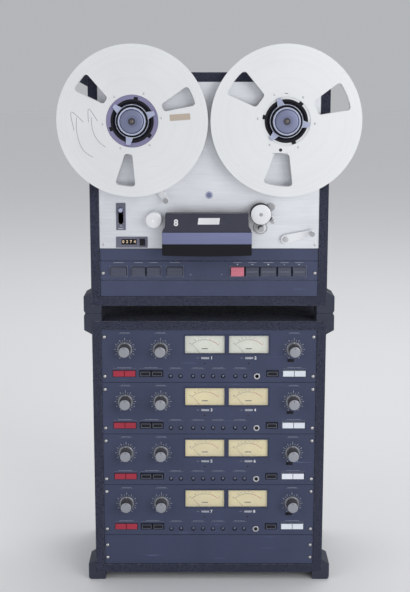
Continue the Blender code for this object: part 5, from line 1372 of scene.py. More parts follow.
def reel(side, sizes):
    """One reel: two flanges with windows, rivets round the hub, and the hub with its notches."""
    centre = middle(side + "_reel_front_flange")
    x, z = centre.x, centre.z
    body = side + "_reel"
    widths = NARROW_WINDOW if side == "left" else WIDE_WINDOW
    first_key = FIRST_KEY[side]
    for place, bore in (("rear", REEL_BORE), ("front", RING_RADIUS if side == "left" else REEL_BORE + NOTCH_DEPTH)):
        node = "%s_reel_%s_flange" % (side, place)
        low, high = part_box(node)
        back, front = FRONT - high.y, FRONT - low.y
        outlines = [turn_points(REEL_RADIUS, 2 * FINE_STEPS), turn_points(bore, FINE_STEPS)]
        for turn in range(3):
            outlines.append(window_outline(WINDOW_ANGLE + 120.0 * turn, *widths))
        sheet = paint(plate(node + "_sheet", outlines, back, front, x, z, sizes.reel_edge), MATERIALS["reel"])
        fit(sheet, body, [node], about=(x, z))
    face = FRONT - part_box(side + "_reel_front_flange")[0].y
    count, radius, first = RIVETS[side]
    rivet = turned("rivet", 0.0, 0.0, [(0.0, 0.0006), (0.0011, 0.0005), (0.0018, 0.0002), (0.0020, 0.0), (0.0, 0.0)], SMALL_STEPS)
    rivet.data.transform(Matrix.Translation((0.0, -FRONT, 0.0)))
    rivets = copies_round(side + "_reel_rivets", rivet, seat(x, z, face), radius, count, MATERIALS["screw"], first)
    fit(rivets, body)

    low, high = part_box(side + "_reel_hub")
    back, front = FRONT - high.y, FRONT - low.y
    barrel_front = back + HUB_WIDTH
    notches = notched_circle(REEL_BORE, first_key)
    barrel = plate("barrel", [turn_points(HUB_RADIUS, FINE_STEPS), notches], back, barrel_front, x, z, 0.0003)
    parts = [barrel]
    if side == "left":
        parts.append(plate("nose", [turn_points(RING_RADIUS - HAIR * 2, FINE_STEPS), notches], barrel_front, front, x, z, 0.0003))
    hub = paint(joined(side + "_hub_barrel", parts), MATERIALS["hub" if side == "left" else "pale_hub"])
    fit(hub, body, [side + "_reel_hub"])


def notched_circle(bore, first_key):
    """Outline of a hub's bore with a notch for each of the adapter's keys."""
    half = math.degrees(math.asin(NOTCH_WIDTH / 2 / bore))
    tip = math.degrees(math.asin(NOTCH_WIDTH / 2 / (bore + NOTCH_DEPTH)))
    hole = []
    steps = FINE_STEPS // 3
    for turn in range(3):
        angle = first_key + 120.0 * turn
        hole += [polar(bore, angle - half), polar(bore + NOTCH_DEPTH, angle - tip)]
        hole += [polar(bore + NOTCH_DEPTH, angle + tip), polar(bore, angle + half)]
        span = 120.0 - 2 * half
        hole += [polar(bore, angle + half + span * step / steps) for step in range(1, steps)]
    return hole


def ribbon(points, width):
    """Outline of a line of even width through the given points."""
    left, right = [], []
    for i, point in enumerate(points):
        here = Vector(point)
        before = Vector(points[max(i - 1, 0)])
        after = Vector(points[min(i + 1, len(points) - 1)])
        along = (after - before).normalized()
        across = Vector((-along.y, along.x)) * (width / 2)
        left.append(tuple(here + across))
        right.append(tuple(here - across))
    return left + right[::-1]


def eased(points, steps=5):
    """Points on a smooth curve through the given ones."""
    found = []
    last = len(points) - 1
    for i in range(last):
        corners = [Vector(points[min(max(i + k, 0), last)]) for k in (-1, 0, 1, 2)]
        a, b, c, d = corners
        for step in range(steps):
            t = step / steps
            spot = b * 2 + (c - a) * t + (a * 2 - b * 5 + c * 4 - d) * t**2 + (b * 3 - a - c * 3 + d) * t**3
            found.append(tuple(spot / 2))
    return found + [points[-1]]


def reel_details():
    """The label and pen strokes on the left reel, and the threading hole and slit of the right one."""
    centre = middle("left_reel_front_flange")
    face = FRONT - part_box("left_reel_front_flange")[0].y
    half_width, half_height = LABEL_SIZE[0] / 2, LABEL_SIZE[1] / 2
    label = plate("left_reel_label", [rectangle(-half_width, half_width, -half_height, half_height, 0.0008)], face, face + 0.0002)
    tilt = Matrix.Rotation(math.radians(-4.0), 4, "Y")
    place = Matrix.Translation((centre.x + LABEL_PLACE[0], 0.0, centre.z + LABEL_PLACE[1]))
    label.data.transform(place @ tilt)
    fit(paint(label, MATERIALS["tan"]), "left_reel")
    strokes = []
    for points in PEN_STROKES:
        outline = ribbon(eased(points), 0.0009)
        strokes.append(plate("stroke", [outline], face, face + PRINT_RISE, centre.x, centre.z))
    strokes = paint(joined("left_reel_pen_marks", strokes), MATERIALS["pen"])
    fit(strokes, "left_reel")

    centre = middle("right_reel_front_flange")
    x, z = centre.x + HOLE_PLACE[0], centre.z + HOLE_PLACE[1]
    # painted shade: the threading hole and the slit are dark ink laid on the flange, for the shade in these openings
    hole = disc("hole", x, z, 0.0030, face, face + PRINT_RISE, "dark_ink", 0.00004, SMALL_STEPS)
    left, right, low, high = SLIT
    slit = bars("slit", [(centre.x + left, centre.x + right, centre.z + low, centre.z + high)], face, "pen")
    mark = bars("mark", [(centre.x - 0.0036, centre.x + 0.0024, centre.z + 0.0476, centre.z + 0.0486)], face, "dark_ink")
    fit(joined("right_reel_marks", [hole, slit, mark]), "right_reel")


def adapter(side, sizes):
    """One hub adapter: the keyed core, and the knob with its three lugs, ribbed grip, cap and screw."""
    centre = middle(side + "_reel_front_flange")
    x, z = centre.x, centre.z
    low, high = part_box(side + "_hub_adapter")
    back, front = FRONT - high.y, FRONT - low.y
    core_radius = REEL_BORE - 0.0005
    profile = [
        (0.0085, front),
        (0.0300, front),
        (0.0320, front - 0.0020),
        (0.0340, front),
        (core_radius - 0.0004, front),
        (core_radius, front - 0.0004),
        (core_radius, back),
        (0.0085, back),
    ]
    parts = [turned("core", x, z, profile, FINE_STEPS)]
    for turn in range(3):
        bar = rectangle(core_radius - 0.002, core_radius + 0.0038, -0.0031, 0.0031, 0.0008)
        angle = FIRST_KEY[side] + 120.0 * turn
        outline = [tuple(Matrix.Rotation(math.radians(angle), 2) @ Vector(point)) for point in bar]
        parts.append(plate("key", [outline], back + 0.0025, front - HAIR, x, z, 0.0003))
    core = paint(joined(side + "_adapter_core", parts), MATERIALS["black"])
    fit(core, side + "_reel", [side + "_hub_adapter"])

    first_lug = FIRST_KEY[side] - LUG_TO_KEY
    lug_back = front + 0.0003
    lug_front = lug_back + 0.0040
    grip_front = lug_front + 0.0090
    outline = lug_outline(first_lug)
    lugs = plate("lugs", [outline], lug_back, lug_front, x, z, 0.0007)
    paint(lugs, MATERIALS["lug"])
    stem = paint(turned("stem", x, z, [(0.0, lug_front), (0.008, lug_front), (0.008, lug_back - 0.010), (0.0, lug_back - 0.010)]), MATERIALS["black"])
    values = {
        "Radius": 0.0250,
        "Flutes": sizes.grip_ribs,
        "Flute Depth": 0.0012,
        "Front Share": 0.97,
        "Length": grip_front - lug_front,
        "Points": sizes.grip_ribs * 8,
        "Material": MATERIALS["grip"],
    }
    grip = grown("grip", TREES["fluted"], values)
    grip.data.transform(Matrix.Translation((x, FRONT - lug_front, z)) @ FRONT_VIEW)
    grip = bevelled(tidy(grip), 0.0006, 2)
    # painted shade: a glossy black ring fills the gap between grip and lugs, for the shade in it
    lock_ring = ring("lock_ring", x, z, 0.0245, 0.0282, lug_front - 0.0006, lug_front + 0.0004, "gloss")
    bright = ring("bright_ring", x, z, 0.0282, 0.0293, lug_front - 0.0006, lug_front + 0.0006, "lug", 0.0002)
    collar = ring("collar", x, z, 0.0214, 0.0242, grip_front - 0.0002, grip_front + 0.0016, "lug", 0.0005, FINE_STEPS)
    cap = turned(
        "cap",
        x,
        z,
        [
            (0.0, grip_front + 0.0030),
            (0.0080, grip_front + 0.0030),
            (0.0084, grip_front + 0.0026),
            (0.0092, grip_front + 0.0026),
            (0.0096, grip_front + 0.0030),
            (0.0180, grip_front + 0.0030),
            (0.0198, grip_front + 0.0024),
            (0.0206, grip_front + 0.0010),
            (0.0206, grip_front),
            (0.0, grip_front),
        ],
        FINE_STEPS,
    )
    paint(cap, MATERIALS["cap"])
    # painted shade: a flat dark disc laid on the cap stands for the dark hole round the bolt
    well = disc("well", x, z, 0.0066, grip_front + 0.0020, grip_front + 0.0031, "dark_screw", 0.0002)
    head = screw_head(0.0034, 0.0015, 1)
    head.data.transform(Matrix.Translation(seat(x, z, grip_front + 0.0030)) @ Matrix.Rotation(0.5, 4, "Y"))
    paint(head, MATERIALS["bolt"])
    knob = joined(side + "_lock_knob", [lugs, stem, lock_ring, grip, collar, bright, cap, well, head])
    fit(knob, side + "_adapter_lock_knob", [side + "_adapter_knob"], about=(x, z), rim=True)


def lug_outline(first_lug):
    """Outline of the locking ring with its three lugs that narrow outwards."""
    root = math.degrees(math.asin(0.013 / 2 / 0.029))
    tip = math.degrees(math.asin(0.007 / 2 / 0.042))
    outline = []
    radii = []
    steps = 14
    for turn in range(3):
        angle = first_lug + 120.0 * turn
        outline += [polar(0.029, angle - root), polar(0.042, angle - tip), polar(0.042, angle + tip), polar(0.029, angle + root)]
        radii += [0.002, 0.0016, 0.0016, 0.002]
        span = 120.0 - 2 * root
        outline += [polar(0.029, angle + root + span * step / steps) for step in range(1, steps)]
        radii += [0.0] * (steps - 1)
    return rounded(outline, radii, 4)


def tape_path():
    """Guide roller, capstan, pinch roller and the tension arms."""
    low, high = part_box("guide_roller")
    x, z = (low.x + high.x) / 2, (low.z + high.z) / 2
    back = FACE + 0.004
    front = back + 0.025
    wheel_back = FRONT - high.y
    profile = [
        (0.0, front - 0.0004),
        (0.0030, front - 0.0004),
        (0.0036, front),
        (0.0124, front),
        (0.0140, front - 0.0007),
        (0.0144, front - 0.0016),
        (0.0144, front - 0.0040),
        (0.0129, front - 0.0055),
        (0.0129, back + 0.0055),
        (0.0144, back + 0.0040),
        (0.0144, back),
        (0.004, back),
        (0.004, wheel_back + 0.008),
        (0.022, wheel_back + 0.008),
        (0.022, wheel_back),
        (0.0, wheel_back),
    ]
    roller = paint(turned("guide_wheel", x, z, profile, FINE_STEPS), MATERIALS["white_metal"])
    fit(roller, "guide_roller_body", ["guide_roller"], about=(x, z))

    x, z = CAPSTAN[0], DECK_BOTTOM + CAPSTAN[1]
    shaft = turned(
        "capstan_sleeve", x, z, [(0.0, 0.0322), (0.0041, 0.0322), (0.0047, 0.0316), (0.0047, 0.0), (0.0, 0.0)]
    )
    fit(paint(shaft, MATERIALS["steel"]), "capstan_body", about=(x, z))
    collar = turned(
        "capstan_collar",
        x,
        z,
        [
            (0.0052, 0.0016),
            (0.0052, 0.0021),
            (0.0078, 0.0024),
            (0.0084, 0.0022),
            (0.0116, 0.0018),
            (0.0127, 0.0006),
            (0.0130, FACE),
            (0.0052, FACE),
        ],
    )
    fit(paint(collar, MATERIALS["white_metal"]), "recorder", about=(x, z))
    coat("steel", "capstan", "capstan_motor", "head_block")

    low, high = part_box("pinch_roller")
    x, z = (low.x + high.x) / 2, (low.z + high.z) / 2
    back, front = FRONT - high.y, FRONT - low.y
    tyre = [
        (0.0032, front - 0.0010),
        (0.0178, front - 0.0010),
        (0.0182, front - 0.0008),
        (0.0185, front - 0.0010),
        (0.0187, front - 0.0014),
        (0.0188, front - 0.0022),
        (0.0188, back + 0.0010),
        (0.0178, back),
        (0.0032, back),
    ]
    tyre = paint(turned("tyre", x, z, tyre, FINE_STEPS), MATERIALS["rubber"])
    cap = [
        (0.0032, front - 0.0003),
        (0.0060, front),
        (0.0172, front - 0.0001),
        (0.0180, front - 0.0006),
        (0.0180, front - 0.0018),
        (0.0032, front - 0.0018),
    ]
    cap = paint(turned("cap", x, z, cap, FINE_STEPS), MATERIALS["white_metal"])
    fit(joined("pinch_wheel", [tyre, cap]), "pinch_roller_body", ["pinch_roller"], about=(x, z))
    arm = paint(copy_of("pinch_arm", "pinch_lever", 0.0005, 2), MATERIALS["steel"])
    fit(arm, "pinch_arm_body", ["pinch_arm"], rim=True)

    for side in ("left", "right"):
        node = side + "_tension_arm"
        joint = next(j for j in frame["joints"] if j["name"] == node + "_swing")
        pivot = Vector((joint["pos_m"][0], joint["pos_m"][2]))
        pin = Vector((ARM_PINS[side][0], DECK_BOTTOM + ARM_PINS[side][1]))
        arm_back = FACE + 0.0045
        arm_front = arm_back + 0.0035
        tip = arm_front + 0.0230
        bar = plate("bar", [capsule(pivot, pin, 0.0085, 0.0050)], arm_back, arm_front, edge=0.0006)
        paint(bar, MATERIALS["white_metal"])
        boss = disc("boss", pivot.x, pivot.y, 0.0052, arm_front, arm_front + 0.0022, "screw", 0.0006)
        stub = disc("stub", pivot.x, pivot.y, 0.0045, -0.014, arm_back, "steel")
        profile = [
            (0.0, tip),
            (0.0012, tip),
            (0.0014, tip - 0.0006),
            (0.0022, tip - 0.0006),
            (0.0024, tip),
            (0.0040, tip),
            (0.0045, tip - 0.0005),
            (0.0045, tip - 0.0018),
            (0.0034, tip - 0.0022),
            (0.0034, arm_front),
            (0.0, arm_front),
        ]
        post = paint(turned("post", pin.x, pin.y, profile), MATERIALS["steel"])
        made = joined(side + "_swing_arm", [bar, boss, stub, post])
        fit(made, node + "_body", [node], rim=True)


def capsule(start, end, start_radius, end_radius):
    """Outline round two circles of unlike size."""
    run = end - start
    heading = math.degrees(math.atan2(run.y, run.x))
    lean = math.degrees(math.acos((start_radius - end_radius) / run.length))
    points = []
    steps = 16
    for step in range(steps + 1):
        px, pz = polar(end_radius, heading - lean + 2 * lean * step / steps)
        points.append((end.x + px, end.y + pz))
    sweep = 360.0 - 2 * lean
    for step in range(steps + 1):
        px, pz = polar(start_radius, heading + lean + sweep * step / steps)
        points.append((start.x + px, start.y + pz))
    return points


def heads():
    """The head housing with its metal band, and the flip cover with its bare label and a figure."""
    housing = paint(copy_of("head_housing", "head_shell", 0.0006, 2), MATERIALS["gloss"], MATERIALS["band"])
    for face in housing.data.polygons:
        face.material_index = 1 if face.center.z > DECK_BOTTOM + BAND_BOTTOM and face.normal.y < -0.5 else 0
    fit(housing, "recorder", ["head_housing"])
    cover = paint(copy_of("head_cover", "head_lid", 0.0009, 3), MATERIALS["speckle"])
    fit(cover, "head_cover_body", ["head_cover"], rim=True)
    low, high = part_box("head_cover")
    slope = math.atan2(0.050 - 0.043, high.z - low.z)
    lean = Matrix.Translation(seat(0.0, low.z, 0.050)) @ Matrix.Rotation(-slope, 4, "X") @ Matrix.Translation(-seat(0.0, low.z, 0.050))
    label = plate("head_label", [rounded([(-0.0205, 0.0), (0.0175, 0.0), (0.0190, 0.0115), (-0.0190, 0.0115)], [0.0008] * 4)], 0.050, 0.0502, 0.0, low.z + 0.0140)
    label.data.transform(lean)
    fit(paint(label, MATERIALS["sticker"]), "head_cover_body")
    number = figures("head_figure", "8", -0.0590, low.z + 0.0165, 0.0115, 0.0500, "sticker", 0.0002)
    number.data.transform(lean)
    fit(number, "head_cover_body")


def counter():
    """The tape counter: bezel, figure wheels and reset button."""
    bezel = paint(copy_of("counter_unit", "counter_bezel", 0.0005, 2), MATERIALS["frame"])
    fit(bezel, "recorder", ["counter_unit"], rim=True)
    low = DECK_BOTTOM + COUNTER_WINDOW[2]
    high = DECK_BOTTOM + COUNTER_WINDOW[3]
    floor = FACE + 0.0020 - 0.0025
    span = (COUNTER_WINDOW[1] - COUNTER_WINDOW[0]) / 4
    back_card = block("card", COUNTER_WINDOW[0] + HAIR, COUNTER_WINDOW[1] - HAIR, floor, floor + 0.0002, low + HAIR, high - HAIR)
    wheels = [paint(back_card, MATERIALS["black"])]
    for i, number in enumerate("0274"):
        left = COUNTER_WINDOW[0] + i * span
        wheel = block("wheel", left + 0.0006, left + span - 0.0006, floor + 0.0002, floor + 0.0013, low + 0.0006, high - 0.0006, 0.0006, 3)
        wheels.append(paint(wheel, MATERIALS["gloss"]))
        wheels.append(figures("figure", number, left + span / 2, (low + high) / 2, 0.0052, floor + 0.0013, "amber"))
    fit(joined("counter_wheels", wheels), "recorder")
    button = paint(copy_of("counter_reset_button", "reset_cap", 0.0005, 3), MATERIALS["black"])
    fit(button, "counter_reset_body", ["counter_reset_button"], rim=True)


def in_rectangle(point, x0, x1, z0, z1, margin=0.0):
    return x0 - margin < point.x < x1 + margin and z0 - margin < point.z < z1 + margin


def amplifier_face(number, sizes):
    """One amplifier: its panel, meter frame, button caps and the tray with its sockets."""
    node = "amplifier_%d" % number
    made = copy_of(node, node + "_front", sizes.panel_edge, 2)
    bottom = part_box(node)[0].z - PANEL_GAP
    low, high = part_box(node)
    paint(made, *[MATERIALS[key] for key in ("panel", "gloss", "red", "black", "white", "zinc", "gold", "meter_frame")])
    behind = FRONT + 0.0052
    for face in made.data.polygons:
        point = face.center
        place = Vector((point.x, 0.0, point.z - bottom))
        index = 0
        if abs(point.y - FRONT + FACE) < HAIR:
            pass
        elif point.y > high.y - 0.0098:
            index = 6 if place.x < 0.0 else 3
        elif point.y > behind:
            in_meter = in_rectangle(place, METERS[0], METERS[1], METERS[2], METERS[3], HAIR)
            index = 3 if in_meter and point.y < FRONT + 0.0305 or point.y < FRONT + 0.0195 and place.z < 0.030 else 5
        elif in_rectangle(place, METERS[0], METERS[1], METERS[2], METERS[3], HAIR):
            # painted shade: only the frame's front faces keep its own colour; its walls and bevels get the glossy
            # black, for the shadow gap round it and in the window reveals
            index = 7 if face.normal.y < -0.9 and point.y < FRONT - FACE - HAIR else 1
        else:
            for left, right, colour in BAY_COLOURS:
                if in_rectangle(place, left, right, *BAY_ROWS, -0.0009):
                    # painted shade: button faces that look up or sideways get the glossy black, for the shade along the
                    # bays' upper edges
                    index = 1 if face.normal.z > 0.4 or abs(face.normal.x) > 0.9 else colour
        face.material_index = index
    fit(made, "recorder", [node], rim=True)


def amplifier_print(number, sizes):
    """What is printed and fitted on one amplifier's panel."""
    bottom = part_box("amplifier_%d" % number)[0].z - PANEL_GAP
    name = "amplifier_%d_" % number
    rows = (bottom + MODULE_SCREW_ROWS[0], bottom + MODULE_SCREW_ROWS[1])
    places = [(side * PANEL_SCREW_X, z) for side in (-1, 1) for z in rows]
    screws(name + "screws", places, FACE, sizes.screw_radius, sizes.screw_rise, 2, "screw", CUP_WIDTH, number)
    trims = [(x, bottom + TRIM_Z) for x in TRIMS]
    screws(name + "trimmers", trims, FACE - 0.0016, 0.0026, 0.0008, 1, "trimmer", seed=number + 10)
    # painted shade: a glossy black ring round each trimmer stands for the shade in its hole
    rims = [ring("rim", x, z, 0.0034, 0.0042, FACE, FACE + 0.0002, "gloss", 0.0001, SMALL_STEPS) for x, z in trims]
    fit(joined(name + "trim_rims", rims), "recorder")
    nut = ring(name + "jack_nut", JACK[0], bottom + JACK[1], 0.0034, 0.0058, FACE, FACE + 0.0016, "screw")
    fit(nut, "recorder", about=(JACK[0], bottom + JACK[1]))
    lamps = [disc("lamp", x, bottom + LAMP_Z, 0.0013, FACE, FACE + 0.0007, "lamp", 0.0004, SMALL_STEPS) for x in LAMPS]
    fit(joined(name + "lamps", lamps), "recorder")
    switch = block("switch", *SWITCH[:2], FACE, FACE + 0.0004, bottom + SWITCH[2], bottom + SWITCH[3], 0.0002)
    paint(switch, MATERIALS["black"])
    lever = block("lever", SWITCH[0] + 0.0012, SWITCH[0] + 0.0052, FACE + 0.0003, FACE + 0.0022, bottom + SWITCH[2] + 0.0012, bottom + SWITCH[3] - 0.0012, 0.0003)
    paint(lever, MATERIALS["gloss"])
    fit(joined(name + "slide_switch", [switch, lever]), "recorder")

    outlines = []
    for left, right, colour in BAY_COLOURS:
        if MATERIALS["black"] is MATERIALS[BAY_FINISHES[colour]]:
            count = 2 if right - left > 0.03 else 1
            span = (right - left) / count
            for i in range(count):
                x0, x1 = left + span * i + 0.0028, left + span * (i + 1) - 0.0028
                z0, z1 = bottom + BAY_ROWS[0] + 0.0028, bottom + BAY_ROWS[1] - 0.0036
                outlines.append(frame_strip("line", x0, x1, z0, z1, 0.0005, FACE + 0.0018, "faint_print"))
    fit(joined(name + "button_lines", outlines), "recorder")

    printed = []
    faint = []
    for i, centre in enumerate(METER_CENTRES):
        z = bottom + 0.0465
        printed.append(figures("channel", str(number * 2 - 1 + i), centre + 0.0128, z, 0.0056, FACE, "bright_print"))
        printed.append(dashes("word", centre - 0.0060, centre + 0.0085, z - 0.0020, z + 0.0020, "print", i))
        faint.append(bars("dash", [(centre - 0.0150, centre - 0.0105, z - 0.0004, z + 0.0004)], FACE, "faint_print"))
    for left, right, height in BRACKETS:
        z = bottom + height
        faint.append(bars("bracket", [(left, right, z, z + 0.0003)], FACE, "faint_print"))
        middle_x = (left + right) / 2
        word = min(0.013, (right - left) * 0.36)
        seed = round(middle_x * 10000) + round(height * 10000)
        faint.append(dashes("word", middle_x - word, middle_x + word, z + 0.0012, z + 0.0026, "faint_print", seed))
    fit(joined(name + "figures", printed), "recorder")
    fit(joined(name + "lines", faint), "recorder")
    dots = []
    for x in KNOB_XS:
        centre = seat(x, bottom + KNOB_Z, FACE)
        tick = block("tick", -0.0014, 0.0014, 0.0, PRINT_RISE, -0.00024, 0.00024)
        tick.data.transform(Matrix.Translation((0.0, -FRONT, 0.0)))
        dots.append(copies_round("ticks", tick, centre, 0.0165, 21, MATERIALS["print"], -60.0, 300.0))
        long_tick = block("tick", -0.0006, 0.0006, 0.0, PRINT_RISE, -0.0006, 0.0006)
        long_tick.data.transform(Matrix.Translation((0.0, -FRONT, 0.0)))
        dots.append(copies_round("long_ticks", long_tick, centre, 0.0192, 11, MATERIALS["print"], -60.0, 300.0))
        z = bottom + KNOB_Z
        dots.append(bars("upright", [(x - 0.0003, x + 0.0003, z + 0.0178, z + 0.0214)], FACE, "print"))
    fit(joined(name + "knob_scales", dots), "recorder")


def meter(number, side, sizes):
    """The dial, needle and window of one level meter."""
    channel = number * 2 - 1 + side
    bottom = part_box("amplifier_%d" % number)[0].z - PANEL_GAP
    left, right = METER_WINDOWS[side]
    low, high = bottom + METER_WINDOW_ROWS[0], bottom + METER_WINDOW_ROWS[1]
    x = (left + right) / 2
    card_face = FACE - 0.0045 + 0.0004
    name = "meter_%d_" % channel
    card = block("card", left - 0.0002, right + 0.0002, card_face - 0.00035, card_face, low - 0.0002, high + 0.0002)
    parts = [paint(card, MATERIALS["dial" if number == 1 else "warm_dial"])]
    centre = (x, low - DIAL_DROP)
    for start, end, width, ink_name in (
        (90.0 + DIAL_HALF, 90.0 - DIAL_HALF * 0.30, 0.0005, "dark_ink"),
        (90.0 - DIAL_HALF * 0.30, 90.0 - DIAL_HALF, 0.0009, "red_ink"),
    ):
        outline = arc_band(DIAL_RADIUS, DIAL_RADIUS + width, start, end)
        parts.append(paint(plate("arc", [outline], card_face, card_face + PRINT_RISE, *centre), MATERIALS[ink_name]))
    point = seat(centre[0], centre[1], card_face)
    for count, start, sweep, length, ink_name in (
        (sizes.dial_ticks, 90.0 - DIAL_HALF * 0.30, DIAL_HALF * 1.30, 0.0020, "dark_ink"),
        (4, 90.0 - DIAL_HALF, DIAL_HALF * 0.70, 0.0020, "red_ink"),
    ):
        tick = block("tick", 0.0, length, 0.0, PRINT_RISE, -0.00016, 0.00016)
        tick.data.transform(Matrix.Translation((0.0, -FRONT, 0.0)))
        parts.append(copies_round("ticks", tick, point, DIAL_RADIUS, count, MATERIALS[ink_name], start, sweep))
    for text, share in (("20", 0.98), ("10", 0.62), ("7", 0.40), ("5", 0.17), ("3", -0.05), ("0", -0.32), ("3", -0.95)):
        px, pz = polar(DIAL_RADIUS + 0.0040, 90.0 + DIAL_HALF * share)
        ink_name = "red_ink" if share < -0.31 else "dark_ink"
        parts.append(figures("figure", text, centre[0] + px, centre[1] + pz, 0.0021, card_face, ink_name))
    parts.append(bars("word", [(x - 0.0058, x + 0.0058, low + 0.0070, low + 0.0088)], card_face, "dark_ink"))
    angle = 90.0 + DIAL_HALF * sizes.needle_share
    tip = Vector(polar(DIAL_RADIUS - 0.0006, angle))
    across = Vector(polar(1.0, angle - 90.0))
    root = tip * ((DIAL_DROP + 0.0012) / tip.y)
    outline = [tuple(root - across * 0.00030), tuple(root + across * 0.00030), tuple(tip + across * 0.00012), tuple(tip - across * 0.00012)]
    parts.append(paint(plate("needle", [outline], card_face + 0.0012, card_face + 0.0015, *centre), MATERIALS["dark_ink"]))
    fit(joined(name + "dial", parts), "recorder")
    pane = block(name + "window", left - 0.0001, right + 0.0001, FACE - 0.0009, FACE - 0.0003, low - 0.0001, high + 0.0001)
    fit(paint(pane, MATERIALS["glass"]), "recorder")


def arc_band(inner, outer, start, end, steps=24):
    """Outline of a band between two radii."""
    outline = [polar(inner, start + (end - start) * i / steps) for i in range(steps + 1)]
    return outline + [polar(outer, end + (start - end) * i / steps) for i in range(steps + 1)]


def knob_master(sizes):
    """One control knob at the origin: skirt, fluted body, spun cap and index line."""
    foot = FACE + 0.0005
    skirt = [
        (0.0030, foot + 0.0040),
        (0.0119, foot + 0.0040),
        (0.0125, foot + 0.0030),
        (0.0128, foot + 0.0030),
        (0.0142, foot + 0.0020),
        (0.0145, foot + 0.0012),
        (0.0145, foot),
        (0.0030, foot),
    ]
    skirt = paint(turned("skirt", 0.0, 0.0, skirt, FINE_STEPS), MATERIALS["knob_metal"])
    shaft = disc("shaft", 0.0, 0.0, 0.0030, foot - 0.011, foot + 0.004, "steel")
    values = {
        "Radius": 0.0114,
        "Flutes": sizes.knob_flutes,
        "Flute Depth": 0.0008,
        "Front Share": 0.93,
        "Length": KNOB_REACH - 0.0030 - foot - 0.0038,
        "Points": sizes.knob_flutes * 6,
        "Material": MATERIALS["knob_body"],
    }
    body = grown("body", TREES["fluted"], values)
    body.data.transform(Matrix.Translation((0.0, FRONT - foot - 0.0038, 0.0)) @ FRONT_VIEW)
    body = bevelled(tidy(body), 0.0004, 2)
    top = KNOB_REACH - 0.0008
    neck = disc("neck", 0.0, 0.0, 0.0103, KNOB_REACH - 0.0032, top - 0.0006, "gloss", 0.0003, FINE_STEPS)
    cap = [
        (0.0, top + 0.0007),
        (0.0020, top + 0.0006),
        (0.0088, top + 0.0008),
        (0.0097, top + 0.0004),
        (0.0100, top - 0.0006),
        (0.0, top - 0.0006),
    ]
    cap = paint(turned("cap", 0.0, 0.0, cap, FINE_STEPS), MATERIALS["knob_metal"])
    mark = block("mark", -0.0004, 0.0004, foot + 0.0030, foot + 0.0042, 0.0116, 0.0134, 0.0001)
    paint(mark, MATERIALS["sticker"])
    line = block("line", -0.00035, 0.00035, top + 0.0005, top + 0.00095, 0.0050, 0.0088)
    paint(line, MATERIALS["dark_ink"])
    # painted shade: dark ink blocks round the skirt stand for the shade in its grooves
    skirt_ticks = block("tick", -0.0007, 0.0007, 0.0, 0.0006, -0.00036, 0.00036)
    skirt_ticks.data.transform(Matrix.Translation((0.0, -FRONT, 0.0)))
    grooves = copies_round("grooves", skirt_ticks, seat(0.0, 0.0, foot + 0.0022), 0.0135, 40, MATERIALS["dark_ink"])
    return joined("knob_master", [skirt, shaft, body, neck, cap, mark, line, grooves])


def knobs(sizes):
    """The control knobs, each a copy of one master on its own body."""
    master = knob_master(sizes)
    for joint in frame["joints"]:
        if not joint["name"].endswith("_turn"):
            continue
        node = joint["name"][:-5]
        made = link(node + "_head", master.data.copy())
        x, _, z = joint["pos_m"]
        made.data.transform(Matrix.Translation((x, 0.0, z)))
        fit(made, node + "_body", [node], about=(x, z))
    bpy.data.objects.remove(master, do_unlink=True)


def back_and_inside(sizes):
    """The back cover with its screws and inlet, and finishes for what sits inside."""
    coat("motor", "left_reel_motor", "right_reel_motor")
    coat("zinc", "transport_chassis")
    coat("black", "left_reel_table", "right_reel_table")
    cover = paint(copy_of("transport_back_cover", "rear_cover", 0.0005, 2), MATERIALS["motor"])
    fit(cover, "recorder", ["transport_back_cover"], rim=True)
    low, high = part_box("transport_back_cover")
    inset = 0.010
    face = high.y
    head = screw_head(0.0036, 0.0016, 2)
    head.data.transform(Matrix.Rotation(math.pi, 4, "Z"))
    xs = (low.x + inset, 0.0, high.x - inset)
    zs = (low.z + inset, (low.z + high.z) / 2, high.z - inset)
    points = [Vector((x, face, z)) for x in xs for z in zs if (x, z) != (0.0, zs[1])]
    made = copies_at("rear_cover_screws", head, points, MATERIALS["screw"], math.tau, 5)
    fit(made, "recorder")


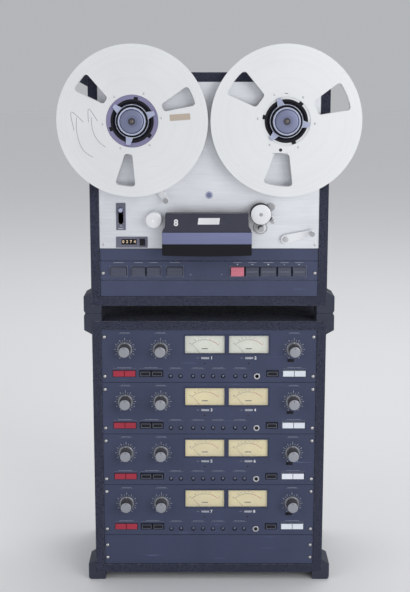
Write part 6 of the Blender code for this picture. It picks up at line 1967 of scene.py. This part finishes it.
def stage(settings):
    """A plain pale floor and room, soft lamps, and the camera at the viewing height of a person."""
    floor = block("floor", -settings.floor_reach, settings.floor_reach, -settings.floor_reach, settings.floor_reach, -0.02, -0.0002)
    made = bpy.data.materials.new("floor_paper")
    made.use_nodes = True
    tree = made.node_tree
    shader = tree.nodes["Principled BSDF"]
    place = add_node(tree, "ShaderNodeTexCoord").outputs["Object"]
    cloud = add_node(tree, "ShaderNodeTexNoise", {"Vector": place, "Scale": 3.0, "Detail": 3.0}).outputs[0]
    pale = (*settings.floor, 1.0)
    tree.links.new(blended(tree, cloud, shade(pale, 0.985), pale), shader.inputs["Base Color"])
    shader.inputs["Roughness"].default_value = 0.9
    shader.inputs["Specular IOR Level"].default_value = 0.2
    paint(floor, made)

    world = bpy.data.worlds.new("room")
    bpy.context.scene.world = world
    world.use_nodes = True
    tree = world.node_tree
    tree.nodes.clear()
    output = tree.nodes.new("ShaderNodeOutputWorld")
    path = tree.nodes.new("ShaderNodeLightPath")
    direct = add_node(
        tree,
        "ShaderNodeMath",
        {0: path.outputs["Is Camera Ray"], 1: path.outputs["Is Transmission Ray"]},
        operation="MAXIMUM",
    )
    seen = add_node(
        tree, "ShaderNodeMath", {0: direct.outputs[0], 1: path.outputs["Is Glossy Ray"]}, operation="MAXIMUM"
    )
    room = add_node(tree, "ShaderNodeBackground", {"Color": (0.95, 0.97, 1.0, 1.0), "Strength": settings.room_light})
    backdrop = add_node(tree, "ShaderNodeBackground", {"Color": (*settings.backdrop, 1.0), "Strength": 1.0})
    mix = add_node(tree, "ShaderNodeMixShader", {0: seen.outputs[0], 1: room.outputs[0], 2: backdrop.outputs[0]})
    tree.links.new(mix.outputs[0], output.inputs["Surface"])

    aim = Vector((0.0, 0.0, RECORDER_MIDDLE))
    for name, place, size, power in (
        ("key_lamp", (4.0, -6.0, 2.5), 4.0, settings.key_power),
        ("fill_lamp", (-5.2, -4.4, 2.7), 4.4, settings.fill_power),
        ("top_lamp", (0.6, 1.3, 4.5), 3.2, settings.top_power),
    ):
        lamp = bpy.data.lights.new(name, "AREA")
        lamp.size = size
        lamp.energy = power
        made = link(name, lamp)
        made.location = place
        made.rotation_euler = (aim - Vector(place)).to_track_quat("-Z", "Y").to_euler()

    lens = bpy.data.cameras.new("viewer")
    lens.lens = settings.lens
    lens.sensor_width = 36.0
    camera = link("viewer", lens)
    camera.location = (settings.camera_x, FRONT - settings.camera_distance, settings.camera_height)
    camera.rotation_euler = (settings.camera_pitch, 0.0, 0.0)
    bpy.context.scene.camera = camera
    bpy.context.scene.view_settings.view_transform = "Standard"


# Settings that a user would change


def colour_property(name, description, default):
    return FloatVectorProperty(
        name=name, description=description, default=default, subtype="COLOR", size=3, min=0.0, max=1.0
    )


def length_property(name, description, default):
    return FloatProperty(
        name=name, description=description, default=default, min=0.0, unit="LENGTH", subtype="DISTANCE", precision=5
    )


class RecorderFinishes(bpy.types.PropertyGroup):
    """Colours of the recorder's finishes."""

    cabinet: colour_property("Cabinet vinyl", "Covering of both cabinets", (0.036, 0.040, 0.070))
    block: colour_property("Corner blocks", "Moulded blocks on the corners", (0.038, 0.042, 0.064))
    panel: colour_property("Amplifier panels", "Enamel on the rack's panels", (0.046, 0.056, 0.108))
    key_panel: colour_property("Key panel", "Enamel below the deck", (0.054, 0.065, 0.122))
    deck: colour_property("Deck", "Brushed plate of the deck", (0.86, 0.88, 0.92))
    band: colour_property("Head band", "Metal band on the head housing", (0.25, 0.27, 0.45))
    reel: colour_property("Reels", "Flanges of both reels", (0.84, 0.85, 0.86))
    hub: colour_property("Left hub", "Hub of the left reel", (0.22, 0.21, 0.34))
    pale_hub: colour_property("Right hub", "Hub of the right reel", (0.78, 0.79, 0.80))
    lug: colour_property("Adapter lugs", "Locking lugs of the hub adapters", (0.40, 0.43, 0.58))
    grip: colour_property("Adapter grip", "Ribbed grip of the hub adapters", (0.040, 0.041, 0.056))
    adapter_cap: colour_property("Adapter cap", "Cap of the hub adapters", (0.25, 0.27, 0.40))
    black: colour_property("Black plastic", "Housing, counter and adapters", (0.011, 0.011, 0.016))
    cover: colour_property("Head cover", "Enamel on the head cover", (0.036, 0.038, 0.058))
    bezel: colour_property("Bezels", "Frames of the counter and the cue slot", (0.15, 0.15, 0.20))
    key: colour_property("Keys", "Motion keys", (0.074, 0.079, 0.112))
    red_key: colour_property("Red key", "Record key", (0.62, 0.19, 0.25))
    red_button: colour_property("Red buttons", "Push buttons on the left", (0.36, 0.035, 0.060))
    white_button: colour_property("White buttons", "Push buttons on the right", (0.72, 0.76, 0.82))
    knob_cap: colour_property("Knob caps", "Metal of the control knobs", (0.40, 0.41, 0.45))
    knob_body: colour_property("Knob bodies", "Fluted sides of the control knobs", (0.085, 0.082, 0.090))
    white_metal: colour_property("Pale metal", "Guide roller, arms and pinch roller cap", (0.87, 0.88, 0.90))
    dial: colour_property("Dial", "Dials of the first amplifier", (0.70, 0.72, 0.62))
    warm_dial: colour_property("Warm dial", "Dials of the other amplifiers", (0.74, 0.64, 0.35))


class RecorderSizes(bpy.types.PropertyGroup):
    """Small sizes and counts that the frame doesn't give."""

    cabinet_edge: length_property("Cabinet edge", "Rounding of the cabinets' edges", 0.0012)
    panel_edge: length_property("Panel edge", "Rounding of the panels' edges", 0.0004)
    reel_edge: length_property("Reel edge", "Rounding of the flanges' rims", 0.0003)
    screw_radius: length_property("Screw radius", "Radius of a panel screw's head", 0.0029)
    screw_rise: length_property("Screw rise", "Height of a panel screw's head", 0.0015)
    knob_flutes: IntProperty(name="Knob flutes", description="Flutes round a control knob", default=28, min=6)
    grip_ribs: IntProperty(name="Grip ribs", description="Ribs round a hub adapter's grip", default=18, min=6)
    dial_ticks: IntProperty(name="Dial ticks", description="Black marks on a meter's dial", default=12, min=2)
    needle_share: FloatProperty(
        name="Needle place", description="Where the needle rests, 1 at the left end", default=0.90, min=-1.0, max=1.0
    )


class RecorderStage(bpy.types.PropertyGroup):
    """Floor, light and camera."""

    floor: colour_property("Floor", "Colour of the floor", (0.80, 0.80, 0.808))
    backdrop: colour_property("Backdrop", "Colour seen behind the recorder", (0.455, 0.465, 0.482))
    floor_reach: length_property("Floor reach", "Half the floor's width", 30.0)
    room_light: FloatProperty(name="Room light", description="Strength of the room's soft light", default=0.60, min=0.0)
    key_power: FloatProperty(name="Key lamp", description="Power of the lamp on the right", default=180.0, min=0.0, unit="POWER")
    fill_power: FloatProperty(name="Fill lamp", description="Power of the lamp on the left", default=45.0, min=0.0, unit="POWER")
    top_power: FloatProperty(name="Top lamp", description="Power of the lamp above", default=70.0, min=0.0, unit="POWER")
    camera_x: FloatProperty(name="Camera across", description="Camera's place across", default=-0.0075, unit="LENGTH")
    camera_distance: length_property("Camera distance", "Camera's distance from the cabinets' front", 2.101)
    camera_height: length_property("Camera height", "Camera's height above the floor", 0.951)
    camera_pitch: FloatProperty(
        name="Camera pitch", description="Camera's tilt from straight down", default=math.radians(79.3), subtype="ANGLE"
    )
    lens: FloatProperty(name="Lens", description="Focal length", default=70.9, min=1.0, unit="CAMERA")


# Operators, one for each piece or group of like pieces


class RECORDER_OT_finishes(bpy.types.Operator):
    """Make the recorder's finishes"""

    bl_idname = "recorder.finishes"
    bl_label = "Finishes"

    def execute(self, context):
        finish_all(context.scene.recorder_finishes)
        return {"FINISHED"}


class RECORDER_OT_stage(bpy.types.Operator):
    """Make the floor, the lamps and the camera"""

    bl_idname = "recorder.stage"
    bl_label = "Stage"

    def execute(self, context):
        stage(context.scene.recorder_stage)
        return {"FINISHED"}


class RECORDER_OT_cabinets(bpy.types.Operator):
    """Make both cabinets with their corner blocks"""

    bl_idname = "recorder.cabinets"
    bl_label = "Cabinets"

    def execute(self, context):
        cabinets(context.scene.recorder_sizes)
        return {"FINISHED"}


class RECORDER_OT_panels(bpy.types.Operator):
    """Make the plain panels and their screws"""

    bl_idname = "recorder.panels"
    bl_label = "Plain panels"

    def execute(self, context):
        plain_panels(context.scene.recorder_sizes)
        return {"FINISHED"}


class RECORDER_OT_deck(bpy.types.Operator):
    """Finish the deck and make its small parts"""

    bl_idname = "recorder.deck"
    bl_label = "Deck"

    def execute(self, context):
        deck_parts(context.scene.recorder_sizes)
        return {"FINISHED"}


class RECORDER_OT_keys(bpy.types.Operator):
    """Make the key panel and the keys"""

    bl_idname = "recorder.keys"
    bl_label = "Keys"

    def execute(self, context):
        key_row(context.scene.recorder_sizes)
        return {"FINISHED"}


class RECORDER_OT_reels(bpy.types.Operator):
    """Make both reels"""

    bl_idname = "recorder.reels"
    bl_label = "Reels"

    def execute(self, context):
        for side in ("left", "right"):
            reel(side, context.scene.recorder_sizes)
        reel_details()
        return {"FINISHED"}


class RECORDER_OT_adapters(bpy.types.Operator):
    """Make the hub adapters that lock the reels"""

    bl_idname = "recorder.adapters"
    bl_label = "Hub adapters"

    def execute(self, context):
        for side in ("left", "right"):
            adapter(side, context.scene.recorder_sizes)
        return {"FINISHED"}


class RECORDER_OT_tape_path(bpy.types.Operator):
    """Make the rollers, the capstan and the arms"""

    bl_idname = "recorder.tape_path"
    bl_label = "Tape path"

    def execute(self, context):
        tape_path()
        return {"FINISHED"}


class RECORDER_OT_heads(bpy.types.Operator):
    """Make the head housing and its flip cover"""

    bl_idname = "recorder.heads"
    bl_label = "Heads"

    def execute(self, context):
        heads()
        return {"FINISHED"}


class RECORDER_OT_counter(bpy.types.Operator):
    """Make the tape counter"""

    bl_idname = "recorder.counter"
    bl_label = "Counter"

    def execute(self, context):
        counter()
        return {"FINISHED"}


class RECORDER_OT_amplifiers(bpy.types.Operator):
    """Make the amplifiers' panels with all that is printed and fitted on them"""

    bl_idname = "recorder.amplifiers"
    bl_label = "Amplifiers"

    def execute(self, context):
        for number in MODULES:
            amplifier_face(number, context.scene.recorder_sizes)
            amplifier_print(number, context.scene.recorder_sizes)
        return {"FINISHED"}


class RECORDER_OT_meters(bpy.types.Operator):
    """Make the level meters"""

    bl_idname = "recorder.meters"
    bl_label = "Level meters"

    def execute(self, context):
        for number in MODULES:
            for side in (0, 1):
                meter(number, side, context.scene.recorder_sizes)
        return {"FINISHED"}


class RECORDER_OT_knobs(bpy.types.Operator):
    """Make the control knobs"""

    bl_idname = "recorder.knobs"
    bl_label = "Control knobs"

    def execute(self, context):
        knobs(context.scene.recorder_sizes)
        return {"FINISHED"}


class RECORDER_OT_back(bpy.types.Operator):
    """Finish the back cover and what sits inside"""

    bl_idname = "recorder.back"
    bl_label = "Back and inside"

    def execute(self, context):
        back_and_inside(context.scene.recorder_sizes)
        return {"FINISHED"}


OPERATORS = (
    RECORDER_OT_finishes,
    RECORDER_OT_stage,
    RECORDER_OT_cabinets,
    RECORDER_OT_panels,
    RECORDER_OT_deck,
    RECORDER_OT_keys,
    RECORDER_OT_reels,
    RECORDER_OT_adapters,
    RECORDER_OT_tape_path,
    RECORDER_OT_heads,
    RECORDER_OT_counter,
    RECORDER_OT_amplifiers,
    RECORDER_OT_meters,
    RECORDER_OT_knobs,
    RECORDER_OT_back,
)


class RECORDER_PT_build(bpy.types.Panel):
    """Builds the recorder piece by piece"""

    bl_idname = "RECORDER_PT_build"
    bl_label = "Tape recorder"
    bl_space_type = "VIEW_3D"
    bl_region_type = "UI"
    bl_category = "Recorder"

    def draw(self, context):
        scene = context.scene
        for group in (scene.recorder_finishes, scene.recorder_sizes, scene.recorder_stage):
            box = self.layout.box()
            for name in group.bl_rna.properties.keys():
                if name not in ("rna_type", "name"):
                    box.prop(group, name)
        for operator in OPERATORS:
            self.layout.operator(operator.bl_idname)


GROUP_CLASSES = (RecorderFinishes, RecorderSizes, RecorderStage)
CLASSES = (*GROUP_CLASSES, *OPERATORS, RECORDER_PT_build)


def register():
    for made in CLASSES:
        bpy.utils.register_class(made)
    bpy.types.Scene.recorder_finishes = PointerProperty(type=RecorderFinishes)
    bpy.types.Scene.recorder_sizes = PointerProperty(type=RecorderSizes)
    bpy.types.Scene.recorder_stage = PointerProperty(type=RecorderStage)


def unregister():
    del bpy.types.Scene.recorder_finishes
    del bpy.types.Scene.recorder_sizes
    del bpy.types.Scene.recorder_stage
    for made in reversed(CLASSES):
        bpy.utils.unregister_class(made)


def main():
    """Builds everything in order."""
    register()
    bpy.ops.recorder.finishes()
    bpy.ops.recorder.stage()
    bpy.ops.recorder.cabinets()
    bpy.ops.recorder.panels()
    bpy.ops.recorder.deck()
    bpy.ops.recorder.keys()
    bpy.ops.recorder.reels()
    bpy.ops.recorder.adapters()
    bpy.ops.recorder.tape_path()
    bpy.ops.recorder.heads()
    bpy.ops.recorder.counter()
    bpy.ops.recorder.amplifiers()
    bpy.ops.recorder.meters()
    bpy.ops.recorder.knobs()
    bpy.ops.recorder.back()


if __name__ == "__main__":
    main()
